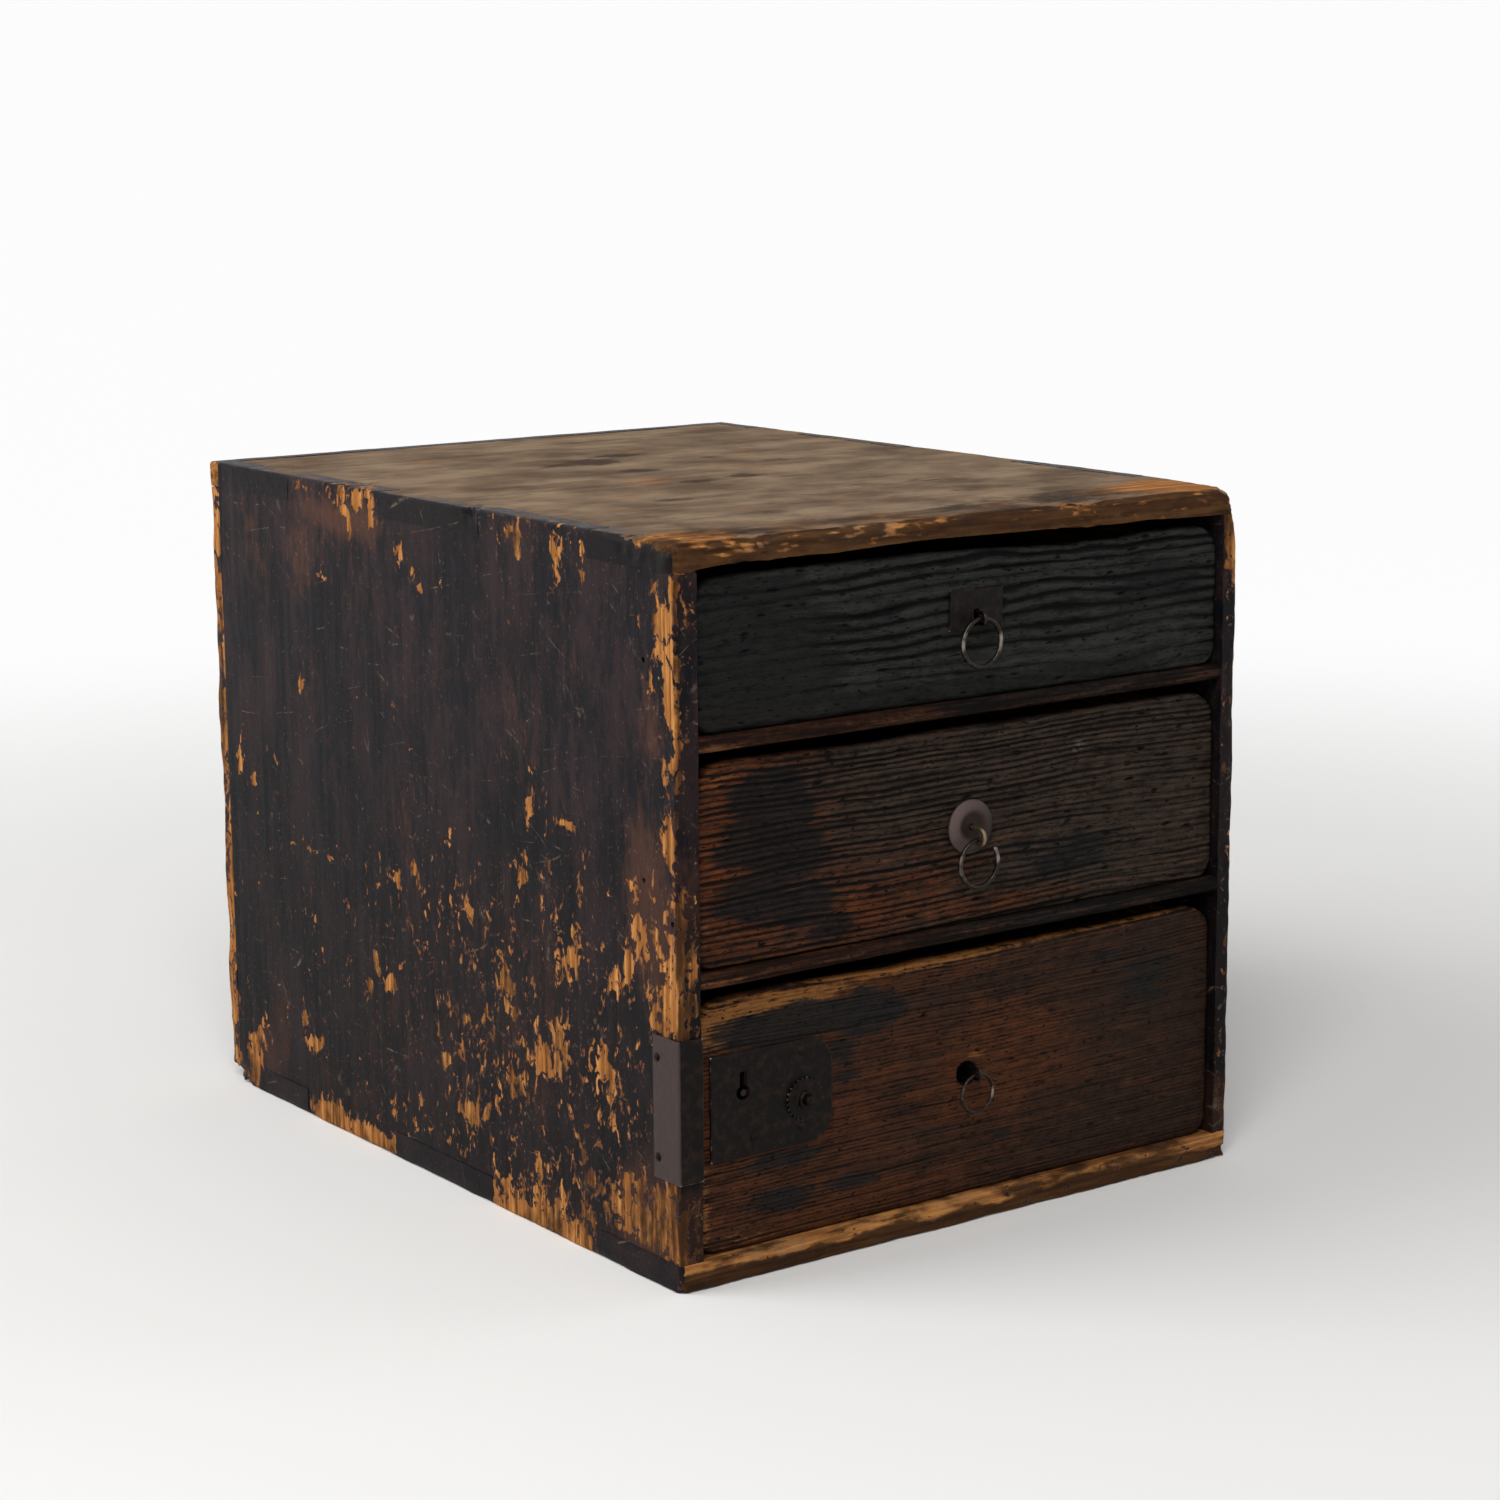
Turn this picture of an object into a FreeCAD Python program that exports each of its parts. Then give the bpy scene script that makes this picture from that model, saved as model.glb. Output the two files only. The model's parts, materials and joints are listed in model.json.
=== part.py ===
import FreeCAD, Part
import os
import re

import Sketcher
from FreeCAD import Placement, Rotation, Vector

# A small Japanese chest with three drawers, in millimetres.
# +Z is up, the drawers open towards -Y, and the origin is on the floor under the
# middle of the carcass. The carcass is a finger-jointed box with planks nailed on behind;
# each drawer has a ring pull, and the bottom drawer has a lock that shoots its bolt into
# the left side board, behind an iron strap.

SIZES = {
    # carcass
    "chest_width": 296,  # outside width of the carcass
    "carcass_depth": 374,  # side boards, front edge to rear edge
    "chest_height": 300,  # floor to top surface
    "side_left_thick": 11,  # left side board
    "side_right_thick": 8,  # right side board, sawn thinner than the left
    "top_thick": 11.5,  # top board
    "bottom_thick": 12,  # bottom board
    "finger_front": 60,  # front finger of the top and bottom boards
    "finger_width": 82,  # each of the three middle fingers
    "finger_rear": 25,  # rear finger of the side boards
    "back_thick": 9,  # back planks and the strip above them
    "back_foot_gap": 6.5,  # floor to the lower end of the back planks
    "back_top_seam": 0.6,  # open seam between the back planks and the strip
    "plank_left_width": 158,  # left back plank; the right one fills the rest
    "plank_seam": 0.6,  # shrinkage seam between the two back planks
    # dividers
    "rail_lower_level": 122.6,  # floor to the underside of the lower rail
    "rail_upper_level": 217,  # floor to the underside of the upper rail
    "rail_thick": 6.4,  # front rails, seen between the drawers
    "rail_deep": 30,  # front rails, front to back
    "rail_round": 1.8,  # worn front edges of the rails
    "shelf_thick": 4.5,  # thin shelves behind the rails
    "housing_deep": 3,  # grooves in the side boards for rails and shelves
    # drawers
    "drawer_recess": 3.5,  # drawer fronts behind the carcass front
    "drawer_side_gap": 0.8,  # play at each side of a drawer
    "drawer_rear_gap": 1,  # drawer back to the back planks when shut
    "front_thick": 13,  # drawer fronts
    "front_lip": 6,  # part of the front that covers the ends of the sides
    "front_round": 2.2,  # worn edge all round a front
    "corner_top": 13,  # upper corners of a front
    "corner_bottom": 9,  # lower corners of a front
    "top_drawer_gap": 3,  # open gap above the top drawer
    "middle_drawer_gap": 5,  # open gap above the middle drawer
    "bottom_drawer_gap": 5,  # open gap above the bottom drawer
    "drawer_side_thick": 7,  # drawer sides
    "drawer_side_drop": 8,  # drawer sides below the top of the front
    "block_drop": 3,  # rear block of a front below its top
    "drawer_back_thick": 7,  # drawer backs
    "drawer_floor_thick": 5,  # drawer bottoms
    # fasteners
    "peg_radius": 1.1,  # wooden pegs of the drawers
    "peg_length": 16,  # wooden pegs of the drawers
    "peg_inset": 12,  # first and last peg from the ends of a joint
    "nail_radius": 0.9,  # shank of an iron nail
    "nail_head_radius": 1.9,  # head of an iron nail
    "nail_head_high": 0.8,  # head of an iron nail
    "back_nail_length": 22,  # nails through the back planks
    "back_nail_inset": 40,  # back nails from the top and bottom
    "back_nail_outer": 103.6,  # outer nails in the bottom and strip, from the middle
    "back_nail_inner": 35.5,  # inner nails in the bottom, from the middle
    "strap_nail_length": 7,  # nails through the corner strap
    "lock_nail_length": 5,  # nails through the lock plate
    # ring pulls
    "top_pull_across": 3.7,  # top pull, right of the chest's middle
    "top_pull_rise": 2.55,  # top pull above the middle of its front
    "middle_pull_across": 1.2,  # middle pull, right of the chest's middle
    "middle_pull_rise": -0.5,  # middle pull above the middle of its front
    "bottom_pull_across": 0.5,  # bottom pull, right of the chest's middle
    "bottom_pull_rise": 0.7,  # bottom pull above the middle of its front
    "top_ring_radius": 10,  # top ring, middle of its wire
    "top_ring_wire": 1,  # top ring, radius of its wire
    "middle_ring_radius": 10,  # middle ring, middle of its wire
    "middle_ring_wire": 1,  # middle ring, radius of its wire
    "middle_ring_start": 78,  # degrees from the right to the broken ring's first end
    "middle_ring_sweep": 320,  # degrees of wire left in the broken ring
    "bottom_ring_radius": 8.2,  # bottom ring, middle of its wire
    "bottom_ring_wire": 0.7,  # bottom ring, radius of its wire
    "eye_radius": 2.2,  # staple eye, middle of its wire
    "staple_wire": 0.8,  # staples, radius of their wire
    "staple_bend": 2.2,  # bends of the clinched legs
    "staple_reach": 9,  # clinched legs, out from the staple's middle
    "top_staple_proud": 3.7,  # back plate to the middle of the top eye
    "middle_staple_proud": 2.9,  # crown of the washer to the middle of the drooping hook
    "bottom_staple_proud": 7,  # front face to the middle of the bottom eye
    "pull_hole_radius": 4.5,  # holes for the top and middle staples
    "worn_hole_radius": 5.2,  # enlarged hole for the bottom staple
    "worn_hole_drop": 1.2,  # middle of the enlarged hole below the staple
    "hook_radius": 3.4,  # drooping hook of the middle pull, middle of its wire
    "hook_wire": 0.9,  # drooping hook, radius of its wire
    "hook_sweep": 205,  # degrees that the hook turns through
    "ring_play": 0.35,  # room between the middle ring and its hook
    "pull_plate_width": 28,  # square back plate of the top pull
    "pull_plate_height": 17,  # square back plate of the top pull
    "pull_plate_thick": 0.8,  # square back plate of the top pull
    "pull_plate_rise": 3.5,  # middle of the plate above its staple
    "pull_plate_tilt": 1.5,  # degrees that the plate hangs askew
    "washer_radius": 11.5,  # domed washer of the middle pull
    "washer_thick": 1.2,  # domed washer of the middle pull
    "washer_rise": 2.4,  # height of the washer's dome
    "washer_shoulder": 8.8,  # radius where the washer's rim turns into its dome
    "washer_shoulder_rise": 1.2,  # height of that shoulder
    "iron_slack": 0.4,  # slack round a staple in its plate or washer
    # lock
    "lock_plate_left": 4.7,  # lock plate from the drawer's left end
    "lock_plate_low": 38.5,  # lock plate above the drawer's underside
    "lock_plate_width": 60.5,  # lock plate
    "lock_plate_height": 44,  # lock plate
    "lock_plate_thick": 1.2,  # lock plate
    "lock_plate_corner": 12,  # rounded corners at the plate's right end
    "lock_nail_across": 44.7,  # right-hand lock nails from the plate's left edge
    "lock_nail_top": 4.5,  # upper lock nail below the plate's upper edge
    "lock_nail_low": 7.5,  # lower lock nails above the plate's lower edge
    "lock_nail_middle": 21,  # third lock nail from the plate's left edge
    "keyhole_across": 16,  # keyhole from the plate's left edge
    "keyhole_high": 27,  # keyhole from the plate's lower edge
    "keyhole_radius": 3.1,  # round part of the keyhole
    "key_slot_width": 3,  # slot above the round part
    "key_slot_high": 8.5,  # top of the slot above the round part's middle
    "key_pin_radius": 1.4,  # pin that a hollow key turns on
    "button_across": 45.8,  # button from the plate's left edge
    "button_high": 19.2,  # button from the plate's lower edge
    "button_radius": 2.2,  # push button
    "button_stub": 0.6,  # button past its collar when it is pressed in
    "button_round": 1.6,  # domed end of the button
    "button_travel": 2,  # how far the button goes in
    "button_stop_gap": 0.2,  # button's tail short of the case when it is pressed in
    "button_flange_radius": 3.4,  # flange that keeps the button in
    "button_flange_thick": 1,  # flange that keeps the button in
    "running_fit": 0.06,  # radial play of the button in its collar
    "button_hole_slack": 0.4,  # radial play of the button in wood and plate
    "rosette_radius": 9,  # scalloped washer round the button
    "rosette_thick": 1,  # scalloped washer round the button
    "scallop_radius": 0.8,  # notches in the washer's rim
    "collar_radius": 3.8,  # raised collar on the washer
    "collar_high": 2,  # raised collar on the washer
    "case_width": 57,  # iron lock case
    "case_height": 36,  # iron lock case
    "case_rise": 6,  # lock case above the plate's lower edge
    "case_wall": 1.2,  # sheet of the lock case
    "bolt_height": 9,  # lock bolt
    "bolt_thick": 4,  # lock bolt
    "bolt_rise": 5.5,  # lock bolt above the case's lower edge
    "bolt_inside": 36,  # length of bolt inside the case
    "bolt_ahead": 0.8,  # room between the bolt and the front's lip
    "bolt_slack": 0.5,  # play round the bolt in its slots
    "bolt_throw": 6,  # how far the bolt goes into the side board
    "bolt_short": 0.3,  # bolt's tip inside the drawer's end when drawn
    "bolt_notch_across": 7,  # key notch in the bolt
    "bolt_notch_deep": 3,  # key notch in the bolt
    "spring_thick": 0.8,  # leaf spring over the bolt
    "spring_wide": 3.4,  # leaf spring over the bolt
    "spring_foot": 14,  # foot of the leaf spring
    "spring_gap": 0.4,  # spring's tip above the bolt
    "strap_drop": 16.5,  # lower end of the corner strap below the bolt
    "strap_height": 59,  # corner strap
    "strap_thick": 1,  # corner strap
    "strap_side": 17,  # corner strap along the side board
    "strap_nail_inset": 9,  # strap nails from its upper and lower ends
    "strap_nail_edge": 3,  # strap nails from its rear edge
}

SCALLOPS = 24
PEGS_ALONG = 3  # pegs up into each drawer side
PEGS_ACROSS = 2  # pegs up into each drawer back
WALL_SHARE = 0.8  # most of a wall, or of half a width, that a rounding may take

doc =FreeCAD.newDocument("three_drawer_chest")
sheet = doc.addObject("Spreadsheet::Sheet", "Sizes")
for row, (name, number) in enumerate(SIZES.items(), 1):
    sheet.set(f"A{row}", name)
    sheet.set(f"B{row}", str(number))
    sheet.setAlias(f"B{row}", name)
doc.recompute()

# ---------------------------------------------------------------- sizes in use


def expression(text):
    """The same sum with each size's name pointed at its cell."""
    def cell(match):
        word = match.group(0)
        return "Sizes." + word if word in SIZES else word
    return re.sub(r"[a-z_]+", cell, str(text))


def value(text):
    """The number that a sum of sizes comes to now."""
    return float(sheet.evalExpression(expression(text)))


def bind(item, sums):
    """Tie properties of an item to sums of sizes."""
    for prop, text in sums.items():
        item.setExpression(prop, expression(text))


def place(item, x, y, z, rotation=None):
    """Put an item's own origin at a point, turned if need be."""
    if rotation is not None:
        item.Placement = Placement(Vector(), rotation)
    bind(item, {"Placement.Base.x": x, "Placement.Base.y": y, "Placement.Base.z": z})


# ---------------------------------------------------------------- pieces

pieces = []


def piece(item, name):
    """List an item as one separate piece of the chest."""
    item.Label = name
    pieces.append(item)
    return item


def block(name, corner, extent):
    """A plain squared block from its low corner."""
    item = doc.addObject("Part::Box", name)
    bind(item, {"Length": extent[0], "Width": extent[1], "Height": extent[2]})
    place(item, *corner)
    return item


ALONG_X = Rotation(Vector(0, 0, 1), Vector(1, 0, 0))
ALONG_Y = Rotation(Vector(0, 0, 1), Vector(0, 1, 0))
ALONG_Z = Rotation()
ALONG_X_BACK = Rotation(Vector(0, 0, 1), Vector(-1, 0, 0))
ALONG_Y_BACK = Rotation(Vector(0, 0, 1), Vector(0, -1, 0))


def rod(name, start, radius, length, rotation):
    """A round rod from the middle of its first end."""
    item = doc.addObject("Part::Cylinder", name)
    bind(item, {"Radius": radius, "Height": length})
    place(item, *start, rotation)
    return item


def group(name, members):
    """Like pieces that share one node."""
    item = doc.addObject("Part::Compound", name)
    item.Links = members
    return item


def fused(name, members):
    """One solid made of several that run into each other."""
    item = doc.addObject("Part::MultiFuse", name)
    item.Shapes = members
    return item


def cut(name, base, tool):
    """A piece with a tool's shape taken out of it."""
    item = doc.addObject("Part::Cut", name)
    item.Base = base
    item.Tool = tool
    return item


def nail(name, surface, length, rotation):
    """An iron nail: its shank runs on from a surface, and its head stands on it."""
    shank = rod(name + "_shank", surface, "nail_radius", length, rotation)
    head = doc.addObject("Part::Cone", name + "_head")
    bind(head, {"Radius1": "nail_head_radius", "Radius2": "nail_radius", "Height": "nail_head_high"})
    outwards = rotation.multVec(Vector(0, 0, -1))
    place(head, *surface, Rotation(Vector(0, 0, 1), outwards))
    return fused(name, [shank, head])


# ---------------------------------------------------------------- sketches


def new_body(name):
    """An empty body for one piece's sketches and features."""
    return doc.addObject("PartDesign::Body", name)


def new_sketch(body, role, name, offset="0"):
    """A sketch on one of the body's own planes, moved along the plane's normal."""
    sketch = body.newObject("Sketcher::SketchObject", name)
    plane = next(item for item in body.Origin.OriginFeatures if item.Role == role)
    sketch.AttachmentSupport = (plane, [""])
    sketch.MapMode = "FlatFace"
    bind(sketch, {"AttachmentOffset.Base.z": offset})
    return sketch


def fix_point(sketch, geometry, point, corner):
    """Dimension one point of a sketch from the sketch's origin, both ways."""
    for kind, text in zip(("DistanceX", "DistanceY"), corner):
        limit = Sketcher.Constraint(kind, -1, 1, geometry, point, value(text))
        index = sketch.addConstraint(limit)
        bind(sketch, {f"Constraints[{index}]": text})


def outline(sketch, corners):
    """A closed straight-sided outline through corners."""
    spots = [Vector(value(across), value(up), 0) for across, up in corners]
    lines = [Part.LineSegment(spot, spots[(i + 1) % len(spots)]) for i, spot in enumerate(spots)]
    first = sketch.addGeometry(lines)[0]
    for i, corner in enumerate(corners):
        following = first + (i + 1) % len(corners)
        sketch.addConstraint(Sketcher.Constraint("Coincident", first + i, 2, following, 1))
        fix_point(sketch, first + i, 1, corner)


def rectangle(sketch, low, high):
    """A rectangle between two opposite corners."""
    outline(sketch, [low, (high[0], low[1]), high, (low[0], high[1])])


def circle(sketch, centre, radius):
    """A circle dimensioned by its centre and radius."""
    spot = Vector(value(centre[0]), value(centre[1]), 0)
    ring = sketch.addGeometry(Part.Circle(spot, Vector(0, 0, 1), value(radius)))
    fix_point(sketch, ring, 3, centre)
    index = sketch.addConstraint(Sketcher.Constraint("Radius", ring, value(radius)))
    bind(sketch, {f"Constraints[{index}]": radius})


def pad(body, sketch, length, backwards=False):
    """Thicken a sketch along its plane's normal, or against it."""
    item =body.newObject("PartDesign::Pad", sketch.Name + "_pad")
    item.Profile = sketch
    item.Reversed = backwards
    bind(item, {"Length": length})
    doc.recompute()
    return item


def pocket(body, sketch, length, backwards=False):
    """Cut a sketch into the body, and make sure that it took something away."""
    before = body.Shape.Volume
    item = body.newObject("PartDesign::Pocket", sketch.Name + "_pocket")
    item.Profile = sketch
    item.Reversed = backwards
    bind(item, {"Length": length})
    doc.recompute()
    if body.Shape.Volume >= before:
        raise RuntimeError(f"{item.Name} cuts nothing")
    return item


def fillet(body, base, edges, radius):
    """Round the named edges of a body's last feature."""
    item =body.newObject("PartDesign::Fillet", base.Name + "_fillet")
    item.Base = (base, edges)
    bind(item, {"Radius": radius})
    doc.recompute()
    return item


def edges_where(shape, test):
    """Names of the edges whose bounding box passes a test."""
    return [f"Edge{i}" for i, edge in enumerate(shape.Edges, 1) if test(edge.BoundBox)]


def meets(place_along, level):
    """Whether a bound of an edge lies at a level, to a thousandth of a millimetre."""
    return round(place_along - level, 3) == 0


# ---------------------------------------------------------------- carcass

LEFT = "-chest_width / 2"
FRONT = "-carcass_depth / 2"
REAR = "carcass_depth / 2"
BAY_LEFT = "(-chest_width / 2 + side_left_thick)"
BAY_RIGHT = "(chest_width / 2 - side_right_thick)"
BAY_WIDTH = "(chest_width - side_left_thick - side_right_thick)"
BAY_TOP = "(chest_height - top_thick)"

# Where the fingers change over, counted from the front edge. The top and bottom boards
# have the first finger, the side boards the second, and so on to the rear edge.
FINGER_ENDS = [
    "finger_front",
    "finger_front + finger_width",
    "finger_front + 2 * finger_width",
    "finger_front + 3 * finger_width",
    "carcass_depth - finger_rear",
    "carcass_depth",
]


def fingered_edge(outer, inner, starts_out):
    """Corners of a fingered edge from front to rear, outer at a finger, inner between."""
    corners = []
    start = "0"
    out = starts_out
    for end in FINGER_ENDS:
        level = outer if out else inner
        corners += [(level, start), (level, end)]
        start = end
        out = not out
    return corners


def flat_board(name, thick, level):
    """The top or bottom board, with fingers at both ends."""
    body = new_body(name)
    sketch = new_sketch(body, "XY_Plane", name + "_outline")
    left = fingered_edge("0", "side_left_thick", True)
    right = fingered_edge("chest_width", "chest_width - side_right_thick", True)
    outline(sketch, right + left[::-1])
    pad(body, sketch, thick)
    place(body, LEFT, FRONT, level)
    return body


def side_board(name, thick, at_left):
    """A side board with fingers at its top and bottom and housings on its inner face."""
    body = new_body(name)
    sketch = new_sketch(body, "YZ_Plane", name + "_outline")
    top = [(along, up) for up, along in fingered_edge("chest_height", BAY_TOP, False)]
    foot = [(along, up) for up, along in fingered_edge("0", "bottom_thick", False)]
    outline(sketch, foot + top[::-1])
    pad(body, sketch, thick)
    inner_face = thick if at_left else "0"
    for level in ("rail_lower", "rail_upper"):
        housing = new_sketch(body, "YZ_Plane", f"{name}_{level}_housing", inner_face)
        low = f"{level}_level"
        high = f"{level}_level + rail_thick"
        shelf_low = f"{level}_level + rail_thick - shelf_thick"
        outline(housing, [
            ("0", low), ("rail_deep", low), ("rail_deep", shelf_low),
            ("carcass_depth", shelf_low), ("carcass_depth", high), ("0", high),
        ])
        pocket(body, housing, "housing_deep", backwards=not at_left)
    return body


def rail(name, level):
    """A front rail between the drawers, its two front edges worn round."""
    body = new_body(name)
    sketch = new_sketch(body, "XY_Plane", name + "_outline")
    rectangle(sketch, ("0", "0"), (f"{BAY_WIDTH} + 2 * housing_deep", "rail_deep"))
    plank = pad(body, sketch, "rail_thick")
    front = edges_where(plank.Shape, lambda box: meets(box.YMax, 0) and not meets(box.XLength, 0))
    fillet(body, plank, front, f"min(rail_round; rail_thick / 2 * {WALL_SHARE})")
    place(body, f"{BAY_LEFT} - housing_deep", FRONT, level)
    return piece(body, name)


def shelf(name, level):
    """The thin shelf behind a rail, level with the rail's top."""
    corner = (f"{BAY_LEFT} - housing_deep", f"{FRONT} + rail_deep", f"{level} + rail_thick - shelf_thick")
    extent = (f"{BAY_WIDTH} + 2 * housing_deep", "carcass_depth - rail_deep", "shelf_thick")
    return piece(block(name, corner, extent), name)


def back_nails():
    """Nails through the back planks into the sides and bottom, and through the strip."""
    outside = f"{REAR} + back_thick"
    left = f"{LEFT} + side_left_thick / 2"
    right = "chest_width / 2 - side_right_thick / 2"
    heights = ["back_nail_inset", "chest_height / 2", "chest_height - back_nail_inset"]
    spots = [(across, up) for across in (left, right) for up in heights]
    in_bottom = "(back_foot_gap + bottom_thick) / 2"
    in_strip = f"{BAY_TOP} + top_thick / 2"
    for across in ("-back_nail_outer", "-back_nail_inner", "back_nail_inner", "back_nail_outer"):
        spots.append((across, in_bottom))
    for across in ("-back_nail_outer", "0", "back_nail_outer"):
        spots.append((across, in_strip))
    nails = []
    for number, (across, up) in enumerate(spots):
        nails.append(nail(f"back_nail_{number}", (across, outside, up), "back_nail_length", ALONG_Y_BACK))
    return piece(group("back_nails", nails), "back_nails")


top_board = flat_board("top_board_plain", "top_thick", BAY_TOP)
bottom_board = flat_board("bottom_board_plain", "bottom_thick", "0")
nails_behind = back_nails()
for board, name in ((top_board, "top_board"), (bottom_board, "bottom_board")):
    piece(cut(name, board, nails_behind), name)

rail("rail_lower", "rail_lower_level")
rail("rail_upper", "rail_upper_level")
shelf("shelf_lower", "rail_lower_level")
shelf("shelf_upper", "rail_upper_level")

PLANK_HEIGHT = f"{BAY_TOP} - back_foot_gap - back_top_seam"
PLANK_RIGHT_WIDTH = "chest_width - plank_left_width - plank_seam"
for name, across, width in (
    ("back_plank_left", LEFT, "plank_left_width"),
    ("back_plank_right", f"{LEFT} + plank_left_width + plank_seam", PLANK_RIGHT_WIDTH),
):
    plank = block(name + "_plain", (across, REAR, "back_foot_gap"), (width, "back_thick", PLANK_HEIGHT))
    piece(cut(name, plank, nails_behind), name)
strip = block("top_rear_strip_plain", (LEFT, REAR, BAY_TOP), ("chest_width", "back_thick", "top_thick"))
piece(cut("top_rear_strip", strip, nails_behind), "top_rear_strip")

# ---------------------------------------------------------------- corner strap

PLATE_LOW = "(bottom_thick + lock_plate_low)"
CASE_LOW = f"({PLATE_LOW} + case_rise)"
BOLT_LOW = f"({CASE_LOW} + bolt_rise)"
STRAP_LOW = f"({BOLT_LOW} - strap_drop)"
STRAP_NAIL_ALONG = f"{FRONT} + strap_side - strap_nail_edge"


def corner_strap(nails):
    """An iron strap bent round the left front corner, where the lock's bolt goes in."""
    body = new_body("corner_strap_plain")
    sketch = new_sketch(body, "XY_Plane", "strap_section")
    outline(sketch, [
        ("-strap_thick", "-strap_thick"), ("side_left_thick", "-strap_thick"), ("side_left_thick", "0"),
        ("0", "0"), ("0", "strap_side"), ("-strap_thick", "strap_side"),
    ])
    strap = pad(body, sketch, "strap_height")
    outside = -value("strap_thick")
    bend = edges_where(strap.Shape, lambda box: meets(box.XMax, outside) and meets(box.YMax, outside))
    fillet(body, strap, bend, f"strap_thick * {WALL_SHARE}")
    place(body, LEFT, FRONT, STRAP_LOW)
    return piece(cut("corner_strap", body, nails), "corner_strap")


strap_nails = []
for number, inset in enumerate(("strap_nail_inset", "strap_height - strap_nail_inset")):
    up = f"{STRAP_LOW} + {inset}"
    surface = (f"{LEFT} - strap_thick", STRAP_NAIL_ALONG, up)
    strap_nails.append(nail(f"strap_nail_{number}", surface, "strap_nail_length", ALONG_X))
nails_in_strap = piece(group("strap_nails", strap_nails), "strap_nails")
corner_strap(nails_in_strap)

# ---------------------------------------------------------------- drawers

DRAWER_LEFT = f"({BAY_LEFT} + drawer_side_gap)"
DRAWER_WIDTH = f"({BAY_WIDTH} - 2 * drawer_side_gap)"
DRAWER_FRONT = f"({FRONT} + drawer_recess)"
DRAWER_DEPTH = "(carcass_depth - drawer_recess - drawer_rear_gap)"
SIDE_LENGTH = f"({DRAWER_DEPTH} - front_lip)"

LEVELS = {
    "top": ("(rail_upper_level + rail_thick)", BAY_TOP),
    "middle": ("(rail_lower_level + rail_thick)", "rail_upper_level"),
    "bottom": ("bottom_thick", "rail_lower_level"),
}


def front_height(drawer):
    """A front fills its opening but for the gap above it."""
    floor, ceiling = LEVELS[drawer]
    return f"({ceiling} - {floor} - {drawer}_drawer_gap)"


def pull_height(drawer):
    """A pull is set out from the middle of its front, up from the drawer's underside."""
    return f"({front_height(drawer)} / 2 + {drawer}_pull_rise)"


def drawer_front(drawer, hole_radius, hole_drop):
    """A front: a lip with rounded corners, and behind it the block that fits the box."""
    name = f"drawer_{drawer}_front"
    high = front_height(drawer)
    body = new_body(name + "_plain")
    face = new_sketch(body, "XZ_Plane", f"{drawer}_face")
    rectangle(face, ("0", "0"), (DRAWER_WIDTH, high))
    lip = pad(body, face, "front_lip", backwards=True)
    tall = value(high)
    upper = edges_where(lip.Shape, lambda box: meets(box.ZMin, tall) and meets(box.XLength, 0))
    rounded = fillet(body, lip, upper, "corner_top")
    lower = edges_where(rounded.Shape, lambda box: meets(box.ZMax, 0) and meets(box.XLength, 0))
    rounded = fillet(body, rounded, lower, "corner_bottom")
    rim = edges_where(rounded.Shape, lambda box: meets(box.YMax, 0))
    fillet(body, rounded, rim, f"min(front_round; front_lip * {WALL_SHARE})")
    rear = new_sketch(body, "XZ_Plane", f"{drawer}_rear_block", "-front_lip")
    rectangle(rear, ("drawer_side_thick", "drawer_floor_thick"),
              (f"{DRAWER_WIDTH} - drawer_side_thick", f"{high} - block_drop"))
    pad(body, rear, "front_thick - front_lip", backwards=True)
    hole = new_sketch(body, "XZ_Plane", f"{drawer}_pull_hole")
    hole_middle = (f"{drawer}_pull_across - {DRAWER_LEFT}", f"{pull_height(drawer)} - {hole_drop}")
    circle(hole, hole_middle, hole_radius)
    pocket(body, hole, "front_thick")
    place(body, DRAWER_LEFT, DRAWER_FRONT, LEVELS[drawer][0])
    return body


def drawer_pegs(drawer):
    """Wooden pegs: two at each corner of the box, and a row up into sides and back."""
    floor = LEVELS[drawer][0]
    high = front_height(drawer)
    low_peg = f"{floor} + drawer_floor_thick + peg_inset"
    high_peg = f"{floor} + {high} - drawer_side_drop - peg_inset"
    in_front = f"{DRAWER_FRONT} + (front_lip + front_thick) / 2"
    in_back = f"{DRAWER_FRONT} + {DRAWER_DEPTH} - drawer_back_thick / 2"
    ends = ((DRAWER_LEFT, ALONG_X), (f"{DRAWER_LEFT} + {DRAWER_WIDTH}", ALONG_X_BACK))
    pegs = []

    def add(start, rotation):
        name = f"{drawer}_peg_{len(pegs)}"
        pegs.append(rod(name, start, "peg_radius", "peg_length", rotation))

    for across, rotation in ends:
        for along in (in_front, in_back):
            for up in (low_peg, high_peg):
                add((across, along, up), rotation)
    in_left = f"{DRAWER_LEFT} + drawer_side_thick / 2"
    in_right = f"{DRAWER_LEFT} + {DRAWER_WIDTH} - drawer_side_thick / 2"
    for across in (in_left, in_right):
        for step in range(1, PEGS_ALONG + 1):
            along = f"{DRAWER_FRONT} + front_lip + {step} / {PEGS_ALONG + 1} * {SIDE_LENGTH}"
            add((across, along, floor), ALONG_Z)
    for step in range(1, PEGS_ACROSS + 1):
        across = f"{DRAWER_LEFT} + {step} / {PEGS_ACROSS + 1} * {DRAWER_WIDTH}"
        add((across, in_back, floor), ALONG_Z)
    return piece(group(f"drawer_{drawer}_pegs", pegs), f"drawer_{drawer}_pegs")


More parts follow.
